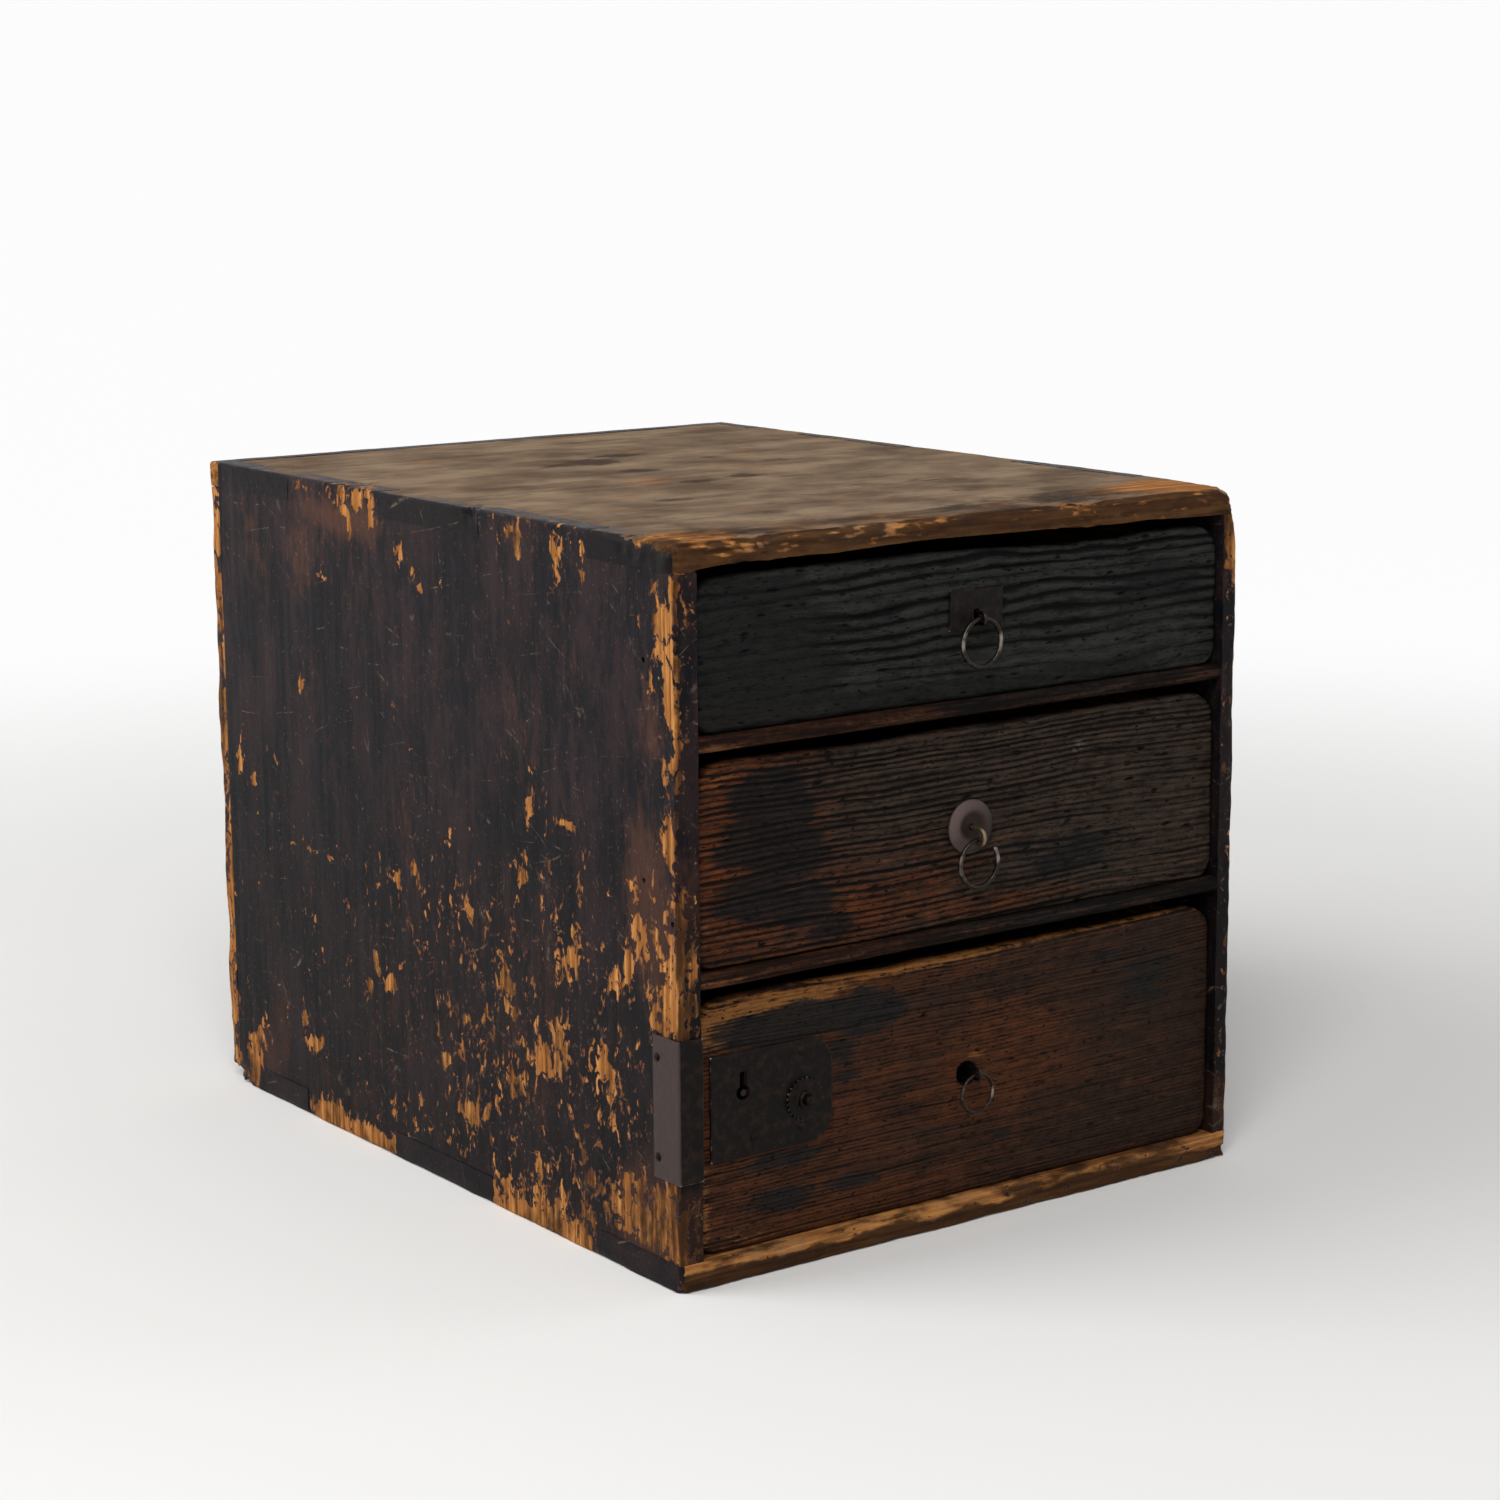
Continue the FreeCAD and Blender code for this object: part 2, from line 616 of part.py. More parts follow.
def drawer_box(drawer, pegs):
    """Sides, back and bottom behind a front; the bottom is pegged on from below."""
    floor = LEVELS[drawer][0]
    above_floor = f"{floor} + drawer_floor_thick"
    along = f"{DRAWER_FRONT} + front_lip"
    side_high = f"{front_height(drawer)} - drawer_side_drop - drawer_floor_thick"
    right = f"{DRAWER_LEFT} + {DRAWER_WIDTH} - drawer_side_thick"
    side = ("drawer_side_thick", SIDE_LENGTH, side_high)
    boards = {
        "side_left": ((DRAWER_LEFT, along, above_floor), side),
        "side_right": ((right, along, above_floor), side),
        "back": (
            (f"{DRAWER_LEFT} + drawer_side_thick",
             f"{DRAWER_FRONT} + {DRAWER_DEPTH} - drawer_back_thick", above_floor),
            (f"{DRAWER_WIDTH} - 2 * drawer_side_thick", "drawer_back_thick", side_high),
        ),
        "bottom": ((DRAWER_LEFT, along, floor), (DRAWER_WIDTH, SIDE_LENGTH, "drawer_floor_thick")),
    }
    made = {}
    for part, (corner, extent) in boards.items():
        name = f"drawer_{drawer}_{part}"
        made[part] = cut(name + "_pegged", block(name + "_plain", corner, extent), pegs)
    return made


# ---------------------------------------------------------------- ring pulls

# Turns of a torus: where its sweep starts, where it goes, and its axis.
EYE_TURN = Rotation(Vector(0, 0, 1), Vector(0, -1, 0), Vector(1, 0, 0), "XYZ")
UPPER_BEND_TURN = Rotation(Vector(0, 0, -1), Vector(0, 1, 0), Vector(1, 0, 0), "XYZ")
LOWER_BEND_TURN = Rotation(Vector(0, 0, 1), Vector(0, 1, 0), Vector(-1, 0, 0), "XYZ")
HANGING_TURN = Rotation(Vector(1, 0, 0), Vector(0, 0, 1), Vector(0, -1, 0), "XYZ")


def bent_wire(name, centre, radius, wire, sweep, rotation):
    """A length of round wire bent to an arc."""
    item = doc.addObject("Part::Torus", name)
    bind(item, {"Radius1": radius, "Radius2": wire, "Angle3": sweep})
    place(item, *centre, rotation)
    return item


# What lies between each front and the part of its staple that stands out.
BACKING = {"top": "pull_plate_thick", "middle": "(washer_thick + washer_rise)", "bottom": "0"}


def staple_middle(drawer):
    """Middle of a staple where it stands out of the front."""
    proud = f"{DRAWER_FRONT} - {BACKING[drawer]} - {drawer}_staple_proud"
    return (f"{drawer}_pull_across", proud, f"{LEVELS[drawer][0]} + {pull_height(drawer)}")


def clinched_leg(name, spot, side, wire):
    """A leg through the front, bent flat against its inside, up or down."""
    across, along, up = spot
    start = f"{DRAWER_FRONT} + front_thick + {wire} - staple_bend"
    inside = f"{DRAWER_FRONT} + front_thick + {wire}"
    clinch = "staple_reach - eye_radius - staple_bend"
    if side > 0:
        bend_up, turn, clinch_low = f"{up} + staple_bend", UPPER_BEND_TURN, f"{up} + staple_bend"
    else:
        bend_up, turn, clinch_low = f"{up} - staple_bend", LOWER_BEND_TURN, f"{up} - staple_bend - ({clinch})"
    return [
        rod(name + "_leg", spot, wire, f"{start} - ({along})", ALONG_Y),
        bent_wire(name + "_bend", (across, start, bend_up), "staple_bend", wire, "90", turn),
        rod(name + "_clinch", (across, inside, clinch_low), wire, clinch, ALONG_Z),
    ]


def staple(drawer):
    """A wire eye whose two legs go through the front and are bent flat inside."""
    across, along, up = staple_middle(drawer)
    name = f"ring_staple_{drawer}"
    eye = bent_wire(name + "_eye", (across, along, up), "eye_radius", "staple_wire", "180", EYE_TURN)
    upper = clinched_leg(name + "_upper", (across, along, f"{up} + eye_radius"), 1, "staple_wire")
    lower = clinched_leg(name + "_lower", (across, along, f"{up} - eye_radius"), -1, "staple_wire")
    return piece(fused(name, [eye] + upper + lower), name)


def hook_staple(drawer):
    """A single wire through the front that droops in an open hook."""
    across, along, up = staple_middle(drawer)
    name = f"ring_staple_{drawer}"
    centre = (across, along, f"{up} - hook_radius")
    hook = bent_wire(name + "_hook", centre, "hook_radius", "hook_wire", "hook_sweep", EYE_TURN)
    return piece(fused(name, [hook] + clinched_leg(name, (across, along, up), 1, "hook_wire")), name)


def ring(drawer, hang="0", sweep="360", start=0):
    """A wire ring hanging below its staple; a broken one starts its sweep part of the way round."""
    across, along, up = staple_middle(drawer)
    name = f"ring_{drawer}"
    centre = (across, along, f"{up} - {hang} - {drawer}_ring_radius")
    turn = Rotation(Vector(0, -1, 0), start).multiply(HANGING_TURN)
    wire = bent_wire(name, centre, f"{drawer}_ring_radius", f"{drawer}_ring_wire", sweep, turn)
    return piece(wire, name)


def pull_plate():
    """The square back plate of the top pull, hanging a little askew on its staple."""
    body = new_body("ring_plate_top")
    face = new_sketch(body, "XZ_Plane", "pull_plate_outline")
    rectangle(face, ("-pull_plate_width / 2", "pull_plate_rise - pull_plate_height / 2"),
              ("pull_plate_width / 2", "pull_plate_rise + pull_plate_height / 2"))
    pad(body, face, "pull_plate_thick")
    slot = new_sketch(body, "XZ_Plane", "pull_plate_slot")
    rectangle(slot, ("-staple_wire - iron_slack", "-eye_radius - staple_wire - iron_slack"),
              ("staple_wire + iron_slack", "eye_radius + staple_wire + iron_slack"))
    pocket(body, slot, "pull_plate_thick", backwards=True)
    across, _, up = staple_middle("top")
    place(body, across, DRAWER_FRONT, up, Rotation(Vector(0, 1, 0), value("pull_plate_tilt")))
    return piece(body, "ring_plate_top")


def domed_washer():
    """The round washer of the middle pull: a shallow dome round the staple."""
    body = new_body("ring_washer_middle")
    hole = "hook_wire + iron_slack"
    section = new_sketch(body, "XY_Plane", "washer_section")
    outline(section, [
        ("washer_radius", "0"), ("washer_radius", "-washer_thick"),
        ("washer_shoulder", "-washer_thick - washer_shoulder_rise"),
        (hole, "-washer_thick - washer_rise"), (hole, "-washer_rise"),
        ("washer_shoulder", "-washer_shoulder_rise"),
    ])
    turned = body.newObject("PartDesign::Revolution", "washer_turned")
    turned.Profile = section
    turned.ReferenceAxis = (section, ["V_Axis"])
    turned.Angle = 360
    across, _, up = staple_middle("middle")
    place(body, across, DRAWER_FRONT, up)
    return piece(body, "ring_washer_middle")


# ---------------------------------------------------------------- lock

PLATE_LEFT = f"({DRAWER_LEFT} + lock_plate_left)"
KEY_ACROSS = f"({PLATE_LEFT} + keyhole_across)"
KEY_UP = f"({PLATE_LOW} + keyhole_high)"
BUTTON_ACROSS = f"({PLATE_LEFT} + button_across)"
BUTTON_UP = f"({PLATE_LOW} + button_high)"
PLATE_FACE = f"({DRAWER_FRONT} - lock_plate_thick)"
CASE_LEFT = f"({DRAWER_LEFT} + drawer_side_thick)"
CASE_FRONT = f"({DRAWER_FRONT} + front_lip)"
CASE_DEEP = "(front_thick - front_lip)"
BOLT_FRONT = f"({CASE_FRONT} + bolt_ahead)"


def lock_front(body):
    """Let the lock into the bottom front from behind, with its key and button holes."""
    key = (f"{KEY_ACROSS} - {DRAWER_LEFT}", f"{KEY_UP} - bottom_thick")
    button = (f"{BUTTON_ACROSS} - {DRAWER_LEFT}", f"{BUTTON_UP} - bottom_thick")
    mortise = new_sketch(body, "XZ_Plane", "lock_mortise", "-front_lip")
    low = f"({CASE_LOW} - bottom_thick)"
    rectangle(mortise, ("drawer_side_thick", low),
              ("drawer_side_thick + case_width", f"{low} + case_height"))
    pocket(body, mortise, CASE_DEEP)
    for name, centre, radius in (
        ("front_keyhole", key, "keyhole_radius"),
        ("front_button_hole", button, "button_radius + button_hole_slack"),
    ):
        hole = new_sketch(body, "XZ_Plane", name)
        circle(hole, centre, radius)
        pocket(body, hole, "front_lip")
    slot = new_sketch(body, "XZ_Plane", "front_key_slot")
    rectangle(slot, (f"{key[0]} - key_slot_width / 2", key[1]),
              (f"{key[0]} + key_slot_width / 2", f"{key[1]} + key_slot_high"))
    pocket(body, slot, "front_lip")
    return body


def lock_nails():
    """Three small nails through the lock plate."""
    spots = [
        ("lock_nail_across", "lock_plate_height - lock_nail_top"),
        ("lock_nail_across", "lock_nail_low"),
        ("lock_nail_middle", "lock_nail_low"),
    ]
    nails = []
    for number, (across, up) in enumerate(spots):
        surface = (f"{PLATE_LEFT} + {across}", PLATE_FACE, f"{PLATE_LOW} + {up}")
        nails.append(nail(f"lock_nail_{number}", surface, "lock_nail_length", ALONG_Y))
    return piece(group("lock_plate_nails", nails), "lock_plate_nails")


def lock_plate(nails):
    """The iron plate: square at the drawer's end, round at the other."""
    body = new_body("lock_plate_plain")
    face = new_sketch(body, "XZ_Plane", "lock_plate_outline")
    rectangle(face, ("0", "0"), ("lock_plate_width", "lock_plate_height"))
    sheet_iron = pad(body, face, "lock_plate_thick")
    wide = value("lock_plate_width")
    right_end = edges_where(sheet_iron.Shape, lambda box: meets(box.XMin, wide) and meets(box.ZLength, 0))
    fillet(body, sheet_iron, right_end, f"min(lock_plate_corner; lock_plate_height / 2 * {WALL_SHARE})")
    for name, centre, radius in (
        ("plate_keyhole", ("keyhole_across", "keyhole_high"), "keyhole_radius"),
        ("plate_button_hole", ("button_across", "button_high"), "button_radius + button_hole_slack"),
    ):
        hole = new_sketch(body, "XZ_Plane", name)
        circle(hole, centre, radius)
        pocket(body, hole, "lock_plate_thick", backwards=True)
    slot = new_sketch(body, "XZ_Plane", "plate_key_slot")
    rectangle(slot, ("keyhole_across - key_slot_width / 2", "keyhole_high"),
              ("keyhole_across + key_slot_width / 2", "keyhole_high + key_slot_high"))
    pocket(body, slot, "lock_plate_thick", backwards=True)
    place(body, PLATE_LEFT, DRAWER_FRONT, PLATE_LOW)
    return piece(cut("lock_plate", body, nails), "lock_plate")


def rosette():
    """A scalloped washer with a raised collar that guides the button."""
    body = new_body("lock_rosette")
    disc = new_sketch(body, "XZ_Plane", "rosette_disc")
    circle(disc, ("0", "0"), "rosette_radius")
    pad(body, disc, "rosette_thick")
    ring_wall = new_sketch(body, "XZ_Plane", "rosette_collar")
    circle(ring_wall, ("0", "0"), "collar_radius")
    pad(body, ring_wall, "rosette_thick + collar_high")
    bore = new_sketch(body, "XZ_Plane", "rosette_bore")
    circle(bore, ("0", "0"), "button_radius + running_fit")
    pocket(body, bore, "rosette_thick + collar_high", backwards=True)
    notch = new_sketch(body, "XZ_Plane", "rosette_notch")
    circle(notch, ("rosette_radius", "0"), "scallop_radius")
    scallop = pocket(body, notch, "rosette_thick", backwards=True)
    pattern = body.newObject("PartDesign::PolarPattern", "rosette_scallops")
    pattern.Originals = [scallop]
    pattern.Axis = (disc, ["N_Axis"])
    pattern.Angle = 360
    pattern.Occurrences = SCALLOPS
    body.Tip = pattern
    place(body, BUTTON_ACROSS, PLATE_FACE, BUTTON_UP)
    return piece(body, "lock_rosette")


def button():
    """The push button: a domed rod with a flange that keeps it in."""
    body = new_body("lock_button")
    head = "(lock_plate_thick + rosette_thick + collar_high + button_travel + button_stub)"
    flange_rear = "(front_lip + button_flange_thick)"
    tail_rear = "(front_thick - case_wall - button_travel - button_stop_gap)"
    section = new_sketch(body, "XY_Plane", "button_section")
    outline(section, [
        ("0", f"-{head}"), ("button_radius", f"-{head}"), ("button_radius", "front_lip"),
        ("button_flange_radius", "front_lip"), ("button_flange_radius", flange_rear),
        ("button_radius", flange_rear), ("button_radius", tail_rear), ("0", tail_rear),
    ])
    turned = body.newObject("PartDesign::Revolution", "button_turned")
    turned.Profile = section
    turned.ReferenceAxis = (section, ["V_Axis"])
    turned.Angle = 360
    doc.recompute()
    tip = -value(head)
    rim = edges_where(turned.Shape, lambda box: meets(box.YMax, tip))
    fillet(body, turned, rim, f"min(button_round; button_radius * {WALL_SHARE})")
    place(body, BUTTON_ACROSS, DRAWER_FRONT, BUTTON_UP)
    return piece(body, "lock_button")


def bolt_slot(name, left, width):
    """The opening that the bolt slides through."""
    corner = (left, f"{BOLT_FRONT} - bolt_slack", f"{BOLT_LOW} - bolt_slack")
    return block(name, corner, (width, "bolt_thick + 2 * bolt_slack", "bolt_height + 2 * bolt_slack"))


def lock_case():
    """A shallow iron tray behind the front, open towards it."""
    outer = block("case_outer", (CASE_LEFT, CASE_FRONT, CASE_LOW), ("case_width", CASE_DEEP, "case_height"))
    inner = block("case_inner", (f"{CASE_LEFT} + case_wall", CASE_FRONT, f"{CASE_LOW} + case_wall"),
                  ("case_width - 2 * case_wall", f"{CASE_DEEP} - case_wall", "case_height - 2 * case_wall"))
    slot = bolt_slot("case_slot", CASE_LEFT, "case_wall")
    return piece(cut("lock_case", outer, fused("case_hollow", [inner, slot])), "lock_case")


def lock_bolt():
    """The bolt, with a notch in its upper edge for the key."""
    body = new_body("lock_bolt")
    long = "(drawer_side_thick - bolt_short + case_wall + bolt_inside)"
    notch_left = "(keyhole_across + lock_plate_left - bolt_short - bolt_notch_across / 2)"
    notch_low = "bolt_height - bolt_notch_deep"
    face = new_sketch(body, "XZ_Plane", "bolt_outline")
    outline(face, [
        ("0", "0"), (long, "0"), (long, "bolt_height"),
        (f"{notch_left} + bolt_notch_across", "bolt_height"),
        (f"{notch_left} + bolt_notch_across", notch_low), (notch_left, notch_low),
        (notch_left, "bolt_height"), ("0", "bolt_height"),
    ])
    pad(body, face, "bolt_thick", backwards=True)
    place(body, f"{DRAWER_LEFT} + bolt_short", BOLT_FRONT, BOLT_LOW)
    return piece(body, "lock_bolt")


def lock_spring():
    """A leaf spring: its foot on the roof of the case, its tip just over the bolt."""
    body = new_body("lock_spring")
    roof = "(case_height - 2 * case_wall)"
    tip = "(bolt_rise + bolt_height + spring_gap - case_wall)"
    foot = "(case_width - 2 * case_wall - spring_foot)"
    reach = "(bolt_inside - 2 * bolt_notch_across)"
    face = new_sketch(body, "XZ_Plane", "spring_outline")
    outline(face, [
        ("case_width - 2 * case_wall", roof), (foot, roof), (reach, f"{tip} + spring_thick"),
        (reach, tip), (f"{foot} + spring_thick", f"{roof} - spring_thick"),
        ("case_width - 2 * case_wall", f"{roof} - spring_thick"),
    ])
    pad(body, face, "spring_wide", backwards=True)
    place(body, f"{CASE_LEFT} + case_wall", BOLT_FRONT, f"{CASE_LOW} + case_wall")
    return piece(body, "lock_spring")


def key_pin():
    """The pin in the keyhole, riveted to the back of the case."""
    length = f"{CASE_DEEP} + front_lip + lock_plate_thick - case_wall"
    pin = rod("key_pin", (KEY_ACROSS, PLATE_FACE, KEY_UP), "key_pin_radius", length, ALONG_Y)
    return piece(pin, "key_pin")


# ---------------------------------------------------------------- assembly

# Each front's hole for its pull: its radius, and how far it sits below the staple.
HOLES = {
    "top": ("pull_hole_radius", "0"),
    "middle": ("pull_hole_radius", "0"),
    "bottom": ("worn_hole_radius", "worn_hole_drop"),
}

for drawer, (radius, drop) in HOLES.items():
    pegs = drawer_pegs(drawer)
    front = drawer_front(drawer, radius, drop)
    boards = drawer_box(drawer, pegs)
    if drawer == "bottom":
        nails_in_plate = lock_nails()
        front = cut("lock_front_nailed", lock_front(front), nails_in_plate)
        opening = bolt_slot("side_slot", DRAWER_LEFT, "drawer_side_thick")
        boards["side_left"] = cut("side_left_slotted", boards["side_left"], opening)
    boards["front"] = cut(f"drawer_{drawer}_front_pegged", front, pegs)
    for part, item in boards.items():
        piece(item, f"drawer_{drawer}_{part}")

staple("top")
pull_plate()
ring("top")
hook_staple("middle")
domed_washer()
HANG_IN_HOOK = "(2 * hook_radius - hook_wire - middle_ring_wire - ring_play)"
ring("middle", HANG_IN_HOOK, "middle_ring_sweep", value("middle_ring_start"))
staple("bottom")
ring("bottom")

lock_plate(nails_in_plate)
rosette()
button()
lock_case()
lock_bolt()
lock_spring()
key_pin()

left_side = side_board("side_board_left_plain", "side_left_thick", at_left=True)
place(left_side, LEFT, FRONT, "0")
bolt_mortise = bolt_slot("bolt_mortise", f"{BAY_LEFT} - bolt_throw - bolt_slack", "bolt_throw + bolt_slack")
right_side = side_board("side_board_right_plain", "side_right_thick", at_left=False)
place(right_side, BAY_RIGHT, FRONT, "0")
left_mortised = cut("side_board_left_mortised", left_side, bolt_mortise)
left_nailed = cut("side_board_left_nailed", left_mortised, nails_in_strap)
piece(cut("side_board_left", left_nailed, nails_behind), "side_board_left")
piece(cut("side_board_right", right_side, nails_behind), "side_board_right")

# ---------------------------------------------------------------- checks and files


def check_document():
    """Stop on a failed feature, an empty piece or an invalid one."""
    doc.recompute()
    for item in doc.Objects:
        if "Invalid" in item.State or "Error" in item.State:
            raise RuntimeError(f"{item.Name} failed: {item.State}")
    for item in pieces:
        if item.Shape.isNull() or not item.Shape.isValid() or not item.Shape.Solids:
            raise RuntimeError(f"{item.Label} has no valid solid")


def write_pieces():
    """One STEP file for each piece, named after it."""
    os.makedirs("parts", exist_ok=True)
    for item in pieces:
        item.Shape.exportStep(f"parts/{item.Label}.step")
        print(f"{item.Label:28s} {len(item.Shape.Solids):3d} solids {item.Shape.Volume:12.1f} mm3")


check_document()
write_pieces()
print(len(pieces), "pieces")
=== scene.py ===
import json
import math

import bpy
import numpy as np
from bpy.props import FloatProperty, FloatVectorProperty, IntProperty, PointerProperty
from mathutils import Matrix, Vector, noise


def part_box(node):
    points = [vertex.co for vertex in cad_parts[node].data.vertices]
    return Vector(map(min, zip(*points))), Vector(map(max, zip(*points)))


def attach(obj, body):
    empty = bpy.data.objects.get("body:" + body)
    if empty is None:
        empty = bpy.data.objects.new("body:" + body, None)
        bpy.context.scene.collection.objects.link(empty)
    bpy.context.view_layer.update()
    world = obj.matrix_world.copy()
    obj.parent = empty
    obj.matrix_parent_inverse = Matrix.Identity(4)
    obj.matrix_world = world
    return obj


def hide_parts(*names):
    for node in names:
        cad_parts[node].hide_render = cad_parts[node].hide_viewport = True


bl_info = {
    "name": "Three-drawer chest",
    "version": (1, 0, 0),
    "blender": (4, 5, 0),
    "location": "View3D > Sidebar > Chest",
    "description": "Dresses a small old lacquered chest with worn boards, drawers and ironwork",
    "category": "Object",
}

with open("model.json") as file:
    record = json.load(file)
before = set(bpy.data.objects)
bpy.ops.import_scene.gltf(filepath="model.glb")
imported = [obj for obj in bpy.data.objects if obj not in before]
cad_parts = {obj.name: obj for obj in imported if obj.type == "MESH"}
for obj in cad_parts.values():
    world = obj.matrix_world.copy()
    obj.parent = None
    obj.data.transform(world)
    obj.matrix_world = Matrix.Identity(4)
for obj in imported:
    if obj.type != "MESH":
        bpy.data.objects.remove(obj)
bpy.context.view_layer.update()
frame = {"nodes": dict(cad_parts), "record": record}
MM = 0.001
LEFT_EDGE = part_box("side_board_left")[0].x
RIGHT_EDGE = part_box("side_board_right")[1].x
FRONT_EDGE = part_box("side_board_left")[0].y
REAR_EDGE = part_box("back_plank_left")[1].y
TOP_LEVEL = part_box("top_board")[1].z
LEFT_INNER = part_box("side_board_left")[1].x
RIGHT_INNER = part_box("side_board_right")[0].x
BAY_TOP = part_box("top_board")[0].z
BAY_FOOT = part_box("bottom_board")[1].z
# Where the finger joints change over, from front to rear.
FINGER_ENDS = [FRONT_EDGE + end * MM for end in (60, 142, 224, 306, 349)]


def linear(hex_colour):
    """An sRGB hex colour as the linear numbers that a shader takes."""
    parts = [int(hex_colour[i:i + 2], 16) / 255 for i in (1, 3, 5)]
    return tuple(c / 12.92 if c <= 0.04045 else ((c + 0.055) / 1.055) ** 2.4 for c in parts)


def paint(name, description, hex_colour):
    """A colour that a user may change."""
    return FloatVectorProperty(name=name, description=description, default=linear(hex_colour),
                               subtype="COLOR", size=3, min=0, max=1)


def length(name, description, millimetres):
    """A length that a user may change."""
    return FloatProperty(name=name, description=description, default=millimetres * MM,
                         unit="LENGTH", subtype="DISTANCE", min=0, precision=5)


class ChestWear(bpy.types.PropertyGroup):
    """How far the chest is worn, as real sizes."""
    cell: length("Mesh cell", "Mesh spacing on the boards", 1.6)
    front_cell: length("Front mesh cell", "Mesh spacing along the drawer fronts", 1.6)
    front_row: length("Front mesh row", "Mesh spacing across the grain of the drawer fronts", 0.42)
    edge_round: length("Edge rounding", "Usual rounding of the carcass's outer edges", 1.7)
    inner_round: length("Inner edge rounding", "Rounding of the edges round the drawer bay", 0.9)
    unevenness: length("Unevenness", "How far a board's face dips", 0.4)
    front_round: length("Front rounding", "Rounding of the drawer fronts' edges", 2.4)
    corner_top: length("Upper corners", "Radius of the drawer fronts' upper corners", 13)
    corner_bottom: length("Lower corners", "Radius of the drawer fronts' lower corners", 9)
    ridge_top: length("Top ridges", "Depth between the top front's growth rings", 1.15)
    ridge_middle: length("Middle ridges", "Depth between the middle front's growth rings", 0.6)
    ridge_bottom: length("Bottom ridges", "Depth between the bottom front's growth rings", 0.3)


class ChestFinish(bpy.types.PropertyGroup):
    """The chest's colours."""
    black: paint("Black lacquer", "Lacquer where it is thickest", "#121216")
    purple: paint("Brown lacquer", "Lacquer worn thin and brown", "#2e2224")
    under: paint("Undercoat", "Red-brown coat under the lacquer", "#51352a")
    scuff: paint("Scuffs", "Old scratches in the lacquer", "#7b6c5c")
    cedar_dark: paint("Cedar, dark", "Dark rings of bare cedar", "#68401f")
    cedar: paint("Cedar", "Bare cedar", "#9c6534")
    cedar_pale: paint("Cedar, pale", "Rubbed high spots of bare cedar", "#c68a4e")
    grey_dark: paint("Weathered, dark", "Dark fibres of the weathered top", "#5c4a3a")
    grey: paint("Weathered", "Weathered top", "#776350")
    grey_pale: paint("Weathered, pale", "Pale fibres of the weathered top", "#8f7a62")
    grime: paint("Grime", "Dirt rubbed into bare wood", "#1d140f")
    stain: paint("Stain", "Old spills on the top", "#2e2219")
    soot: paint("Soot", "Sooty patches on the drawer fronts", "#090909")
    dust: paint("Dust", "Pale dust caught in the grain", "#6f6b64")
    inside: paint("Inside", "Unfinished wood inside", "#86643f")
    iron: paint("Iron", "Lacquered sheet iron", "#110e0d")
    rust: paint("Rust", "Brown rust on the ironwork", "#2e211a")
    # Painted light on the ironwork: the paler colour of the strap's side flange and of the washer's rim.
    painted_light_iron: paint("Iron, painted light", "Paler iron painted where light falls", "#5a4c49")
    rubbed: paint("Rubbed iron", "Iron rubbed bright on its edges", "#8b827c")
    wire: paint("Wire", "Iron wire darkened by hands", "#2e2926")
    brass: paint("Brass", "Dull brass wire", "#84705a")


# ---------------------------------------------------------------- mesh work


def look(piece):
    """Make a piece the one that is selected and active."""
    bpy.ops.object.select_all(action="DESELECT")
    piece.select_set(True)
    bpy.context.view_layer.objects.active = piece


def start(primitive, stretch=(1, 1, 1), **settings):
    """Add a primitive with nothing else selected, and put its place and stretch into its mesh."""
    bpy.ops.object.select_all(action="DESELECT")
    getattr(bpy.ops.mesh, f"primitive_{primitive}_add")(**settings)
    piece = bpy.context.object
    piece.scale = stretch
    bpy.ops.object.transform_apply(location=True, rotation=True, scale=True)
    return piece


def read(items, field, width, kind=float):
    """A field of all the vertices, edges or faces, with one row for each."""
    flat = np.empty(len(items) * width, kind)
    items.foreach_get(field, flat)
    return flat.reshape(-1, width)


def places(piece):
    """Vertex places as rows of three."""
    return read(piece.data.vertices, "co", 3)


def move(piece, rows):
    """Give the vertices new places."""
    piece.data.vertices.foreach_set("co", np.ascontiguousarray(rows, dtype=np.float64).ravel())
    piece.data.update()


def edge_ends(piece):
    """The two vertices of each edge."""
    return read(piece.data.edges, "vertices", 2, int)


def neighbours(piece, rows):
    """Mean of the rows of each vertex's neighbours."""
    ends = edge_ends(piece)
    around = np.zeros_like(rows)
    count = np.zeros(len(rows))
    for a, b in ((0, 1), (1, 0)):
        np.add.at(around, ends[:, a], rows[ends[:, b]])
        np.add.at(count, ends[:, a], 1)
    return around / count[:, None]


def choose(piece, kind, wanted):
    """Select the flagged vertices, edges or faces in edit mode, and nothing else."""
    look(piece)
    bpy.context.tool_settings.mesh_select_mode = tuple(kind == k for k in ("vertices", "edges", "polygons"))
    bpy.ops.object.mode_set(mode="EDIT")
    bpy.ops.mesh.select_all(action="DESELECT")
    bpy.ops.object.mode_set(mode="OBJECT")
    getattr(piece.data, kind).foreach_set("select", wanted)
    bpy.ops.object.mode_set(mode="EDIT")


def apply_modifier(piece, kind, **settings):
    """Add one modifier, set it and apply it."""
    look(piece)
    modifier = piece.modifiers.new(kind.title(), kind)
    for name, setting in settings.items():
        setattr(modifier, name, setting)
    bpy.ops.object.modifier_apply(modifier=modifier.name)


def rough(rows, scale, seed, octaves=3):
    """Smooth noise from -1 to 1 at each place; scale is the size in mm of its lumps along x, y and z."""
    shift = Vector((seed * 7.3, seed * 3.1, seed * 5.7))
    across, along_y, up = (1 / (s * MM) for s in scale)
    points = (Vector((x * across, y * along_y, z * up)) + shift for x, y, z in rows)
    return np.array([noise.fractal(p, 1.0, 2.0, octaves) for p in points])


def smooth(values, low, high):
    """0 below low, 1 above high and an S-curve between, with low and high in mm."""
    t = np.clip((values / MM - low) / (high - low), 0, 1)
    return t * t * (3 - 2 * t)


def below(values, high, low=0):
    """1 below low, 0 above high and an S-curve between, with low and high in mm."""
    return smooth(-values, -high, -low)


